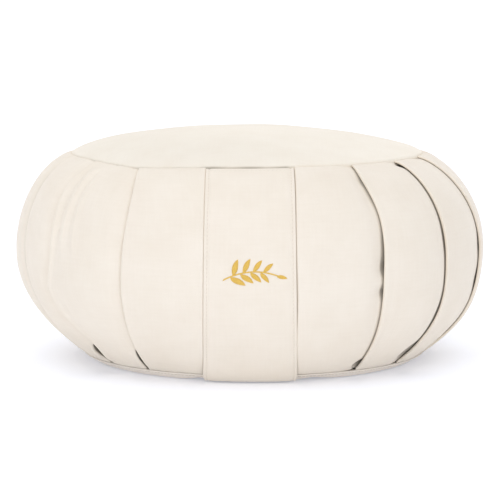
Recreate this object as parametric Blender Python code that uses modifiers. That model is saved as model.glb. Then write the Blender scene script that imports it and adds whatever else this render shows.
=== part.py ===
"""A zafu: a round, pleated meditation cushion with a crowned top and a plain front panel.

Metres, +Z up. The origin is on the floor, under the middle of the top. The front panel faces -Y.
Angles round the cushion are degrees from the front, and grow towards +X and on round the back.
"""
import math
from typing import NamedTuple

import bmesh
import bpy
import numpy as np

# ---------------------------------------------------------------- driving dimensions
HEIGHT = 0.1718             # floor to the top of the crown
WIDEST_RADIUS = 0.172       # the side at its fullest, at the folds
WIDEST_HEIGHT = 0.083
TOP_SEAM_RADIUS = 0.1306
TOP_SEAM_HEIGHT = 0.1518
BASE_SEAM_RADIUS = 0.1286
BASE_SEAM_HEIGHT = 0.006
FLOOR_RADIUS = 0.1201       # where the base leaves the floor
BASE_CORNER_RADIUS = 0.010
BASE_SHIFT = 0.003          # the filling has pushed the base this far towards +X
BASE_FLAT_SHARE = 0.6       # where the base panel's flat part has one more ring

# Powers that shape the profiles: 1 is a straight slope or a plain ellipse, and more is fuller.
DRAW_IN_POWER = 2.3         # the side below its widest height
ROLL_OVER_POWER = 1.3       # the side above it
CROWN_ACROSS_POWER = 1.05
CROWN_UP_POWER = 1.31
CROWN_TURNS = (0, 15, 30, 45, 60, 73, 83, 90)   # degrees from the crown's middle to its edge

TOP_CLOTH = 0.002           # a sheet's thickness, with its wadding
BASE_CLOTH = 0.0025
PANEL_CLOTH = 0.002
GAP = 0.0003                # between pieces that touch
EDGE_GAP = 0.0007           # at the round panels' edges, where the chords differ
SEAM_TUCK = 0.002           # how far the top panel's edge goes down behind the pleats
SEAM_DEPTH = 0.003          # depth of the pleats' sewn ends behind the seam line

PANEL_WIDTH_TOP = 0.061
PANEL_WIDTH_BOTTOM = 0.066
PANEL_BED_MARGIN = 0.001    # room beside the panel's edges, in the bed that it lies in
PANEL_BED_LIP = 0.003       # width of the slope from the bed up to the pleats' cloth
HEM_LIFT = 0.0025           # the panel stands off the side here, to pass over the base's rim
HEM_START = 0.12            # share of the side's height below which it does
HEM_HEIGHT = 0.0006         # the panel ends just above the floor

# A pleat is a flap of cloth that lies over a tuck. Sizes are given at the seams and half way up.
TUCK_AT_SEAM = 0.013
TUCK_AT_MIDDLE = 0.007
FLAP_AT_SEAM = 0.0011
FLAP_AT_MIDDLE = 0.0024
SLOT_AT_SEAM = 0.0005
BACK_SLOT = 0.0012
PUFF = 0.003                # how far a pleat's face stands out between its folds
FRONT_PUFF = 0.0012         # the same beside the front panel

# ---------------------------------------------------------------- resolution
ROWS = 17                   # bands from the base seam to the top seam
RING_STEPS = 48             # sides of the round panels


class Fold(NamedTuple):
    """A pleat's folded edge: its angle at three heights, and how wide its slot stands open."""

    top: float
    middle: float
    bottom: float
    slot: float


# Every fold points the same way round, towards smaller angles. These run from the front panel
# round the right side, and from the left side back to the front panel.
RIGHT_FOLDS = (
    Fold(top=31.4, middle=31.8, bottom=32.4, slot=0.0026),
    Fold(top=52.8, middle=52.2, bottom=51.6, slot=0.0018),
    Fold(top=70.5, middle=73.5, bottom=68.5, slot=0.0014),
)
LEFT_FOLDS = (
    Fold(top=287.5, middle=286.0, bottom=290.5, slot=0.0010),
    Fold(top=304.2, middle=306.5, bottom=303.0, slot=0.0010),
    Fold(top=324.8, middle=329.2, bottom=324.0, slot=0.0010),
)
BACK_FOLD_COUNT = 10
BACK_UNEVENNESS = 1.2       # degrees by which the back folds wander from an even spacing
BACK_WANDER_STEP = 5.0      # radians of that wander's wave from one fold to the next

# Where the columns of a pleat's face stand, as shares of the way from its fold to the next.
FACE_SHARES = (0.08, 0.25, 0.5, 0.75, 0.9)
VALLEY_START = 0.72         # share from which the face goes down to the next fold
LEFT_OF_PANEL_SHARES = (0.25, 0.65)
RIGHT_OF_PANEL_SHARES = (0.35, 0.7, 0.88)
RIGHT_VALLEY_START = 0.5
FOLD_ROUNDING = 0.6         # a folded edge is rounded over this share of the flap's thickness
INNER_FOLD_RISE = 0.3       # the tuck's inner fold stands up by this share of the slot

# ---------------------------------------------------------------- materials
CANVAS = (0.905, 0.831, 0.753, 1.0)
CANVAS_IN_LIGHT = (0.955, 0.888, 0.804, 1.0)
CANVAS_ROUGHNESS = 0.92


def ease(share):
    """Smooth step from 0 to 1, level at both ends."""
    share = min(max(share, 0.0), 1.0)
    return share * share * (3.0 - 2.0 * share)


def between_seams(at_seam, at_middle, v):
    """A size that is at_middle half way up the side and at_seam at both seams."""
    return at_middle + (at_seam - at_middle) * (2.0 * v - 1.0) ** 2


def bulge(v):
    """A rise from 0 at both seams to 1 half way up."""
    return 4.0 * v * (1.0 - v)


# ---------------------------------------------------------------- the side's profile
def side_profile(v):
    """Radius and height of the side at v, from 0 at the base seam to 1 at the top seam.

    Below the widest height the radius falls off with a power of the depth, so the cloth slopes in
    to the base seam. Above it the profile is near a quarter of an ellipse, so the cloth rolls over
    and runs level into the top seam.
    """
    if v < 0.5:
        depth = 1.0 - 2.0 * v
        radius = BASE_SEAM_RADIUS + (WIDEST_RADIUS - BASE_SEAM_RADIUS) * (1.0 - depth ** DRAW_IN_POWER)
        return radius, WIDEST_HEIGHT - (WIDEST_HEIGHT - BASE_SEAM_HEIGHT) * depth
    turn = (2.0 * v - 1.0) * math.pi / 2.0
    roll = max(math.cos(turn), 0.0) ** ROLL_OVER_POWER
    radius = TOP_SEAM_RADIUS + (WIDEST_RADIUS - TOP_SEAM_RADIUS) * roll
    return radius, WIDEST_HEIGHT + (TOP_SEAM_HEIGHT - WIDEST_HEIGHT) * math.sin(turn)


def side_normal(v):
    """Outward unit normal of the side's profile, as (radial, upward)."""
    step = 0.001
    low_radius, low_height = side_profile(max(v - step, 0.0))
    high_radius, high_height = side_profile(min(v + step, 1.0))
    length = math.hypot(high_radius - low_radius, high_height - low_height)
    return (high_height - low_height) / length, (low_radius - high_radius) / length


def base_offset(v):
    """How far the side's centre has moved towards +X at height v."""
    return BASE_SHIFT * (1.0 - ease(2.0 * v))


def place_on_side(v, columns):
    """Points of the side at height v, one for each column's angle and rise along the normal."""
    angle, rise = np.array(columns).T
    angle = np.radians(angle)
    radius, height = side_profile(v)
    out, up = side_normal(v)
    radius = radius + rise * out
    x = radius * np.sin(angle) + base_offset(v)
    y = -radius * np.cos(angle)
    return np.stack([x, y, height + rise * up], axis=-1)


def degrees_per_metre(v):
    """Turn round the side that one metre along it makes at height v."""
    return math.degrees(1.0 / side_profile(v)[0])


# ---------------------------------------------------------------- the pleats
def all_folds():
    """Every fold in the order of its angle, those at the back spaced between the others."""
    before = RIGHT_FOLDS[-1]
    after = LEFT_FOLDS[0]
    back = []
    for index in range(1, BACK_FOLD_COUNT + 1):
        share = index / (BACK_FOLD_COUNT + 1)
        wander = BACK_UNEVENNESS * math.sin(BACK_WANDER_STEP * index)
        top = before.top + (after.top - before.top) * share + wander
        middle = before.middle + (after.middle - before.middle) * share - wander
        bottom = before.bottom + (after.bottom - before.bottom) * share + wander
        back.append(Fold(top, middle, bottom, BACK_SLOT))
    return [*RIGHT_FOLDS, *back, *LEFT_FOLDS]


FOLDS = all_folds()


def fold_angle(index, v):
    """Angle of a fold's edge at height v, on a parabola through its three angles."""
    turns, index = divmod(index, len(FOLDS))
    fold = FOLDS[index]
    low = fold.bottom * (1.0 - v) * (1.0 - 2.0 * v)
    high = fold.top * v * (2.0 * v - 1.0)
    return 360.0 * turns + low + fold.middle * bulge(v) + high


def fold_sizes(index, v):
    """Tuck depth, flap thickness and slot width of a fold at height v."""
    fold = FOLDS[index % len(FOLDS)]
    tuck = between_seams(TUCK_AT_SEAM, TUCK_AT_MIDDLE, v)
    flap = between_seams(FLAP_AT_SEAM, FLAP_AT_MIDDLE, v)
    slot = between_seams(SLOT_AT_SEAM, fold.slot, v)
    return tuck, flap, slot


def pleat_face(start, end, valley, v):
    """Columns over a pleat's face: level at its fold, puffed out, then down to the next valley."""
    columns = []
    for share in FACE_SHARES:
        drop = valley * ease((share - VALLEY_START) / (1.0 - VALLEY_START))
        rise = PUFF * bulge(v) * 4.0 * share * (1.0 - share) + drop
        columns.append((start + (end - start) * share, rise))
    return columns


def panel_offsets(v):
    """Angles of the front panel's columns, from its left edge to its right edge."""
    half_width = 0.5 * (PANEL_WIDTH_BOTTOM + (PANEL_WIDTH_TOP - PANEL_WIDTH_BOTTOM) * v)
    centre = -base_offset(v) * degrees_per_metre(v)
    half_turn = half_width * degrees_per_metre(v)
    return [centre + half_turn * side for side in (-1.0, -0.5, 0.0, 0.5, 1.0)]


def front_face(start, end, valley, v):
    """Columns over the smooth face at the front, with a flat bed for the front panel."""
    puff = FRONT_PUFF * bulge(v)
    bed = -(PANEL_CLOTH + GAP)
    margin = PANEL_BED_MARGIN * degrees_per_metre(v)
    lip = PANEL_BED_LIP * degrees_per_metre(v)
    panel = [360.0 + offset for offset in panel_offsets(v)]
    left = panel[0] - margin - lip
    right = panel[-1] + margin + lip
    columns = [(start + (left - start) * share, puff) for share in LEFT_OF_PANEL_SHARES]
    columns.append((left, 0.5 * puff))
    columns.append((panel[0] - margin, bed))
    columns.extend((angle, bed) for angle in panel[1:-1])
    columns.append((panel[-1] + margin, bed))
    columns.append((right, 0.5 * puff))
    for share in RIGHT_OF_PANEL_SHARES:
        drop = valley * ease((share - RIGHT_VALLEY_START) / (1.0 - RIGHT_VALLEY_START))
        columns.append((right + (end - right) * share, puff + drop))
    return columns


def pleat_columns(index, v):
    """One pleat's cloth, as columns of (angle, rise), from its folded edge to the next fold.

    It goes round the folded edge, over the face, down under the next flap to the inner fold, and
    back along the underside of that flap. The inner fold is the third column from the end.
    """
    _, flap, _ = fold_sizes(index, v)
    next_tuck, next_flap, next_slot = fold_sizes(index + 1, v)
    start = fold_angle(index, v)
    end = fold_angle(index + 1, v)
    turn = degrees_per_metre(v)
    valley = -(next_flap + next_slot)
    is_front = index == len(FOLDS) - 1
    face = front_face if is_front else pleat_face
    return [
        (start, -0.5 * flap),
        (start + FOLD_ROUNDING * flap * turn, 0.0),
        *face(start, end, valley, v),
        (end, valley),
        (end + 0.5 * next_tuck * turn, valley),
        (end + next_tuck * turn, valley + INNER_FOLD_RISE * next_slot),
        (end + 0.5 * next_tuck * turn, -next_flap),
        (end + FOLD_ROUNDING * next_flap * turn, -next_flap),
    ]


def all_pleats(v):
    """The whole side's cloth at height v: one list of columns for each pleat, in order."""
    return [pleat_columns(index, v) for index in range(len(FOLDS))]


# ---------------------------------------------------------------- turned outlines
def crown_outline():
    """The top panel's outside, from its centre down to its edge, as (radius, height) points."""
    radius = TOP_SEAM_RADIUS - EDGE_GAP
    rise = HEIGHT - TOP_SEAM_HEIGHT
    outline = []
    for turn in CROWN_TURNS:
        across = math.sin(math.radians(turn)) ** CROWN_ACROSS_POWER
        up = max(math.cos(math.radians(turn)), 0.0) ** CROWN_UP_POWER
        outline.append((radius * across, TOP_SEAM_HEIGHT + rise * up))
    outline.append((radius, TOP_SEAM_HEIGHT - SEAM_TUCK))
    return outline


def base_outline():
    """The base panel's outside, from its rim down and in to its centre."""
    slope = math.atan2(BASE_SEAM_HEIGHT, BASE_SEAM_RADIUS - FLOOR_RADIUS)
    top_radius = BASE_SEAM_RADIUS - EDGE_GAP * math.cos(slope)
    top_height = BASE_SEAM_HEIGHT - EDGE_GAP * math.sin(slope)
    tangent = BASE_CORNER_RADIUS * math.tan(slope / 2.0)
    outline = [(top_radius, top_height)]
    for share in (1.0, 0.67, 0.33, 0.0):
        turn = slope * share
        radius = FLOOR_RADIUS - tangent + BASE_CORNER_RADIUS * math.sin(turn)
        outline.append((radius, BASE_CORNER_RADIUS * (1.0 - math.cos(turn))))
    outline.extend([(BASE_FLAT_SHARE * FLOOR_RADIUS, 0.0), (0.0, 0.0)])
    return outline


def moved_inwards(outline, distance):
    """An outline moved by distance to the right of its direction, mitred at its corners."""
    points = np.array(outline)
    along = np.diff(points, axis=0)
    along /= np.linalg.norm(along, axis=1)[:, None]
    side = np.stack([along[:, 1], -along[:, 0]], axis=1)
    before = np.vstack([side[:1], side])
    after = np.vstack([side, side[-1:]])
    mitre = before + after
    mitre /= 0.5 * np.sum(mitre * mitre, axis=1)[:, None]
    return points + mitre * distance


# ---------------------------------------------------------------- building
def make_material(name, colour):
    """A matt woven cotton."""
    material = bpy.data.materials.new(name)
    material.use_nodes = True
    shader = material.node_tree.nodes["Principled BSDF"]
    shader.inputs["Base Color"].default_value = colour
    shader.inputs["Roughness"].default_value = CANVAS_ROUGHNESS
    shader.inputs["Metallic"].default_value = 0.0
    material.diffuse_color = colour
    return material


def make_object(name, mesh, colour, collection):
    """An object of one mesh and one material."""
    mesh.materials.append(make_material(name + "_canvas", colour))
    new_object = bpy.data.objects.new(name, mesh)
    collection.objects.link(new_object)
    return new_object


def add_ring(bm, points):
    """Vertices of one closed ring."""
    return [bm.verts.new(point) for point in points]


def join_rings(bm, low, high):
    """Two triangles for each step round two rings of the same length."""
    for index in range(len(low)):
        after = (index + 1) % len(low)
        bm.faces.new((low[index], low[after], high[after]))
        bm.faces.new((low[index], high[after], high[index]))


def close_ring(bm, ring, centre):
    """A fan from a ring to one centre point."""
    middle = bm.verts.new(centre)
    for index in range(len(ring)):
        bm.faces.new((ring[index], ring[(index + 1) % len(ring)], middle))


def regular_ring(radius, height, centre_x):
    """Points of a round ring, on the same angles as the round panels' sides."""
    angles = np.radians(np.arange(RING_STEPS) * 360.0 / RING_STEPS)
    x = centre_x + radius * np.sin(angles)
    return np.stack([x, -radius * np.cos(angles), np.full(RING_STEPS, height)], axis=-1)


def join_runs(bm, upper, lower):
    """Triangles between two runs of (angle, vertex), the run that is behind taking each step."""
    upper = list(upper)
    lower = list(lower)
    while len(upper) > 1 or len(lower) > 1:
        is_upper_behind = len(lower) == 1 or (len(upper) > 1 and upper[0][0] < lower[0][0])
        run, other = (upper, lower) if is_upper_behind else (lower, upper)
        bm.faces.new((run[0][1], run[1][1], other[0][1]))
        run.pop(0)


def join_pleats_to_ring(bm, pleats, vertices, ring):
    """The pleats' sewn ends, between one row of the cloth and a round ring behind it.

    For each pleat the cloth's outer run, from its folded edge to the next inner fold, is joined to
    the run behind it: the flap's underside as far as the inner fold, and then the ring.
    """
    step = 360.0 / RING_STEPS
    row = [(angle, vertex) for (angle, _), vertex in zip(sum(pleats, []), vertices)]
    behind = [(angle - 360.0, vertex) for angle, vertex in row[-3:]]
    start = 0
    for pleat in pleats:
        outer = row[start:start + len(pleat) - 2]
        first = math.ceil(behind[0][0] / step)
        last = math.ceil(outer[-1][0] / step)
        along_ring = [(mark * step, ring[mark % RING_STEPS]) for mark in range(first, last + 1)]
        join_runs(bm, outer, behind[::-1] + along_ring)
        start += len(pleat)
        behind = row[start - 3:start]


def build_body():
    """The filled body: the pleated side, and the plain surfaces under the top and base panels."""
    bm = bmesh.new()
    rings = []
    for row in range(ROWS + 1):
        v = row / ROWS
        rings.append(add_ring(bm, place_on_side(v, sum(all_pleats(v), []))))
    for low, high in zip(rings, rings[1:]):
        join_rings(bm, low, high)

    for v, cloth in ((0.0, rings[0]), (1.0, rings[-1])):
        radius, height = side_profile(v)
        out, up = side_normal(v)
        centre_x = base_offset(v)
        seam_end = (radius - SEAM_DEPTH * out, height - SEAM_DEPTH * up)
        if v > 0.5:
            covered = moved_inwards(crown_outline(), TOP_CLOTH + GAP)[::-1]
            covered[0][1] = seam_end[1]
        else:
            covered = moved_inwards(base_outline(), BASE_CLOTH + GAP)
        ring = add_ring(bm, regular_ring(*seam_end, centre_x))
        join_pleats_to_ring(bm, all_pleats(v), cloth, ring)
        for radius, height in covered[:-1]:
            next_ring = add_ring(bm, regular_ring(radius, height, centre_x))
            join_rings(bm, ring, next_ring)
            ring = next_ring
        close_ring(bm, ring, (centre_x, 0.0, covered[-1][1]))

    bmesh.ops.recalc_face_normals(bm, faces=bm.faces[:])
    mesh = bpy.data.meshes.new("pleated_side")
    bm.to_mesh(mesh)
    bm.free()
    return mesh


def turned_sheet(name, outline, thickness, colour, centre_x, collection):
    """A round sheet: an outline turned about the vertical, and thickened inwards."""
    mesh = bpy.data.meshes.new(name)
    points = [(radius, 0.0, height) for radius, height in outline]
    mesh.from_pydata(points, [(index, index + 1) for index in range(len(points) - 1)], [])
    sheet = make_object(name, mesh, colour, collection)
    sheet.location.x = centre_x
    screw = sheet.modifiers.new("turn", "SCREW")
    screw.steps = RING_STEPS
    screw.render_steps = RING_STEPS
    screw.use_merge_vertices = True
    screw.merge_threshold = 0.00001
    thicken(sheet, thickness)
    return sheet


def thicken(sheet, thickness):
    """Give an open surface its thickness, on its inner side."""
    solidify = sheet.modifiers.new("cloth", "SOLIDIFY")
    solidify.thickness = thickness
    solidify.offset = -1.0
    solidify.use_even_offset = True


def hem_row(row_above):
    """The front panel's last row: the row above it, carried on down the base's rim."""
    run_in = (BASE_SEAM_RADIUS - FLOOR_RADIUS) / BASE_SEAM_HEIGHT
    drop = row_above[:, 2] - HEM_HEIGHT
    centre = np.array([base_offset(0.0), 0.0])
    spoke = row_above[:, :2] - centre
    radius = np.linalg.norm(spoke, axis=1)
    spoke *= ((radius - run_in * drop) / radius)[:, None]
    return np.column_stack([centre + spoke, np.full(len(spoke), HEM_HEIGHT)])


def build_front_panel():
    """The front panel's outer surface: along the side, then over the base's rim to the floor."""
    rows = []
    for row in range(ROWS, -1, -1):
        v = row / ROWS
        lift = HEM_LIFT * ease(1.0 - v / HEM_START)
        rows.append(place_on_side(v, [(offset, lift) for offset in panel_offsets(v)]))
    rows.append(hem_row(rows[-1]))

    bm = bmesh.new()
    grid = [[bm.verts.new(point) for point in row] for row in rows]
    for high, low in zip(grid, grid[1:]):
        for index in range(len(high) - 1):
            bm.faces.new((low[index], low[index + 1], high[index + 1], high[index]))
    mesh = bpy.data.meshes.new("front_panel")
    bm.to_mesh(mesh)
    bm.free()
    return mesh


def main():
    """Build the cushion in a collection of its own."""
    for old in list(bpy.data.objects):
        bpy.data.objects.remove(old, do_unlink=True)
    collection = bpy.data.collections.new("zafu_cushion")
    bpy.context.scene.collection.children.link(collection)

    make_object("pleated_side", build_body(), CANVAS, collection)
    turned_sheet("top_panel", crown_outline(), TOP_CLOTH, CANVAS_IN_LIGHT, 0.0, collection)
    turned_sheet("base_panel", base_outline(), BASE_CLOTH, CANVAS, BASE_SHIFT, collection)
    front = make_object("front_panel", build_front_panel(), CANVAS, collection)
    thicken(front, PANEL_CLOTH)
    for piece in collection.objects:
        piece.data.shade_smooth()


main()
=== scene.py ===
"""Looks of a zafu: a round meditation cushion of cream cotton canvas with knife pleats.

Metres, +Z up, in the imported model's frame. Angles round the cushion are degrees from its front
(-Y) and grow towards +X. A height share v runs up the side from 0 at the base seam to 1 at the top
seam, and a rise is a distance out from the side, along its normal. The sizes that the solids have
too are the same here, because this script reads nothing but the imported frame.
"""
import enum
import logging
import math
from dataclasses import dataclass, field

import bmesh
import bpy
import numpy as np
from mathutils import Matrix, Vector


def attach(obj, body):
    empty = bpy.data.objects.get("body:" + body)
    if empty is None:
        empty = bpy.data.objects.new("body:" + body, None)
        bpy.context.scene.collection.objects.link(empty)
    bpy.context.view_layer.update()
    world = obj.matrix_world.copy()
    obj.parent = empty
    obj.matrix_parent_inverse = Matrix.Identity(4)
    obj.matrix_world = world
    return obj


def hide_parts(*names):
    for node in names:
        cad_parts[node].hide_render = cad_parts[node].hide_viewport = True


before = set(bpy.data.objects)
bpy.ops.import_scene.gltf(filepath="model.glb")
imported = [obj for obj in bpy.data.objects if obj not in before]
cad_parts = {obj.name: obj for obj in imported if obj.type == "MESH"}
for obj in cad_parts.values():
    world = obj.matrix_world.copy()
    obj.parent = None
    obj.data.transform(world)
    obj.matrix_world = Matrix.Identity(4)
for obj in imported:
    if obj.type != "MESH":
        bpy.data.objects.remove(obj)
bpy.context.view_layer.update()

BODY = "root"
MM = 0.001
WELD = 0.01 * MM
PANEL_HALF_DEGREES = 14.5
LOG = logging.getLogger("zafu")

Array = np.ndarray
Colour = tuple[float, float, float, float]


# ------------------------------------------------------------------ curves and numbers
def ease(share: Array) -> Array:
    """Smooth step from 0 to 1, level at both ends."""
    share = np.clip(share, 0.0, 1.0)
    return share * share * (3.0 - 2.0 * share)


def bell(distance: Array, width: float) -> Array:
    """A hump: 1 at no distance, falling off as a Gaussian of that width."""
    return np.exp(-((distance / width) ** 2))


def bulge(v: Array) -> Array:
    """A rise from 0 at both seams to 1 half way up."""
    return 4.0 * v * (1.0 - v)


def turned(angle: Array) -> Array:
    """The same angle in degrees, from -180 up to 180."""
    return (angle + 180.0) % 360.0 - 180.0


def off_seams(v: Array, reach: float) -> Array:
    """From 0 at both seams up to 1 at this height share away from them."""
    return ease(np.minimum(v, 1.0 - v) / reach)


def over_arc(angle: Array, start: float, end: float, soft: tuple[float, float]) -> Array:
    """1 between two angles and 0 outside them, eased in and out over these many degrees."""
    at = turned(angle)
    return ease((at - start) / soft[0]) * ease((end - at) / soft[1])


def crowded(share: Array, amount: float) -> Array:
    """Even shares from 0 to 1 moved towards both ends, by a sine of the share times amount."""
    return share - amount * np.sin(2.0 * math.pi * share) / math.pi


def polar(radius: Array | float, turn: Array, height: Array | float,
          shift: Array | float) -> Array:
    """Points at radii and turns in radians from the front, about a centre shifted along X."""
    x, y = radius * np.sin(turn) + shift, -radius * np.cos(turn)
    return np.stack(np.broadcast_arrays(x, y, height), axis=-1)


def cubic(known: list[Array], t: Array) -> Array:
    """The Catmull-Rom cubic at t between the middle two of four known values.

    Args:
        known: The values before, at the start, at the end and after.
        t: Share of the way from start to end.

    Returns:
        The value at t.
    """
    before, low, high, after = known
    square = 2.0 * before - 5.0 * low + 4.0 * high - after
    cube = after - before + 3.0 * (low - high)
    return 0.5 * (2.0 * low + t * (high - before + t * (square + t * cube)))


def along(values: tuple[float, ...], v: Array) -> Array:
    """Value at v of the smooth curve through evenly spaced values, straight on at its ends.

    Args:
        values: The values, the first at v = 0 and the last at v = 1.
        v: Where to read the curve.

    Returns:
        An array of v's shape.
    """
    known = np.asarray(values, float)
    first = 2.0 * known[0] - known[1]
    last = 2.0 * known[-1] - known[-2]
    known = np.concatenate([[first], known, [last]])
    place = np.clip(v, 0.0, 1.0) * (len(values) - 1)
    index = np.minimum(place.astype(int), len(values) - 2)
    return cubic([known[index + step] for step in range(4)], place - index)


def row(*numbers: float) -> Array:
    """One row of numbers, to be added to a column of heights."""
    return np.array(numbers, float)[None, :]


# ------------------------------------------------------------------ meshes
@dataclass
class Surface:
    """A mesh in the making: points, faces and the cloth's own coordinates.

    Attributes:
        points: Vertices, in metres.
        faces: Vertex numbers of each face, counter-clockwise from outside.
        cloth: Each vertex's place on the flat cloth, in metres along weft and warp.
        painted_shade: How much painted shade each vertex gets, from 0 to 1, if any: in slots, grooves and
            seams, and towards the crown's front.
    """

    points: Array
    faces: list[list[int]]
    cloth: Array
    painted_shade: Array | None = None

    @staticmethod
    def from_grid(points: Array, cloth: Array, low_pole: tuple[float, float, float] | None = None,
                  high_pole: tuple[float, float, float] | None = None) -> "Surface":
        """Join a grid of points into quads, rows upwards and columns round by growing angle.

        Args:
            points: Array of rows, columns and 3.
            cloth: Array of rows, columns and 2.
            low_pole: A point that closes the first row.
            high_pole: A point that closes the last row.

        Returns:
            The surface, with its poles as fans.
        """
        rows, columns = points.shape[:2]
        number = np.arange(rows * columns).reshape(rows, columns)
        after = np.roll(number, -1, axis=1)
        quads = np.stack([number[:-1], after[:-1], after[1:], number[1:]], axis=-1)
        faces = quads.reshape(-1, 4).tolist()
        flat = [points.reshape(-1, 3)]
        flat_cloth = [cloth.reshape(-1, 2)]
        count = rows * columns
        for pole, ring, is_low in ((low_pole, 0, True), (high_pole, rows - 1, False)):
            if pole is None:
                continue
            here, there = number[ring], after[ring]
            if is_low:
                here, there = there, here
            faces.extend(np.stack([here, there, np.full_like(here, count)], axis=-1).tolist())
            flat.append(np.asarray(pole, float)[None, :])
            flat_cloth.append(cloth[ring].mean(axis=0)[None, :])
            count += 1
        return Surface(np.concatenate(flat), faces, np.concatenate(flat_cloth))

    def to_object(self, name: str, material: bpy.types.Material,
                  weld: float = 0.0) -> bpy.types.Object:
        """Make the piece, shaded smooth.

        Args:
            name: The piece's name.
            material: Its finish.
            weld: Points nearer to each other than this, in metres, are made one.

        Returns:
            The new object, at the origin.
        """
        mesh = bpy.data.meshes.new(name)
        mesh.from_pydata(self.points.tolist(), [], self.faces)
        layer = mesh.uv_layers.new(name="cloth")
        corner = np.empty(len(mesh.loops), int)
        mesh.loops.foreach_get("vertex_index", corner)
        layer.data.foreach_set("uv", self.cloth[corner].ravel())
        if self.painted_shade is not None:
            painted_shade = mesh.attributes.new("painted_shade", "FLOAT", "POINT")
            painted_shade.data.foreach_set("value", self.painted_shade)
        if weld > 0.0:
            cleaned = bmesh.new()
            cleaned.from_mesh(mesh)
            bmesh.ops.remove_doubles(cleaned, verts=cleaned.verts[:], dist=weld)
            cleaned.to_mesh(mesh)
            cleaned.free()
        mesh.shade_smooth()
        mesh.materials.append(material)
        piece = bpy.data.objects.new(name, mesh)
        bpy.context.scene.collection.objects.link(piece)
        return piece


# ------------------------------------------------------------------ the cushion's form
@dataclass(frozen=True)
class Swell:
    """A broad rise or dent of the filling: where it is, how high and how wide."""

    angle: float
    v: float
    rise_mm: float
    half_degrees: float
    half_share: float


@dataclass(frozen=True)
class SeamDrift:
    """A stretch of the top seam that sits higher or lower than the rest."""

    angle: float
    rise_mm: float
    half_degrees: float


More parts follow.
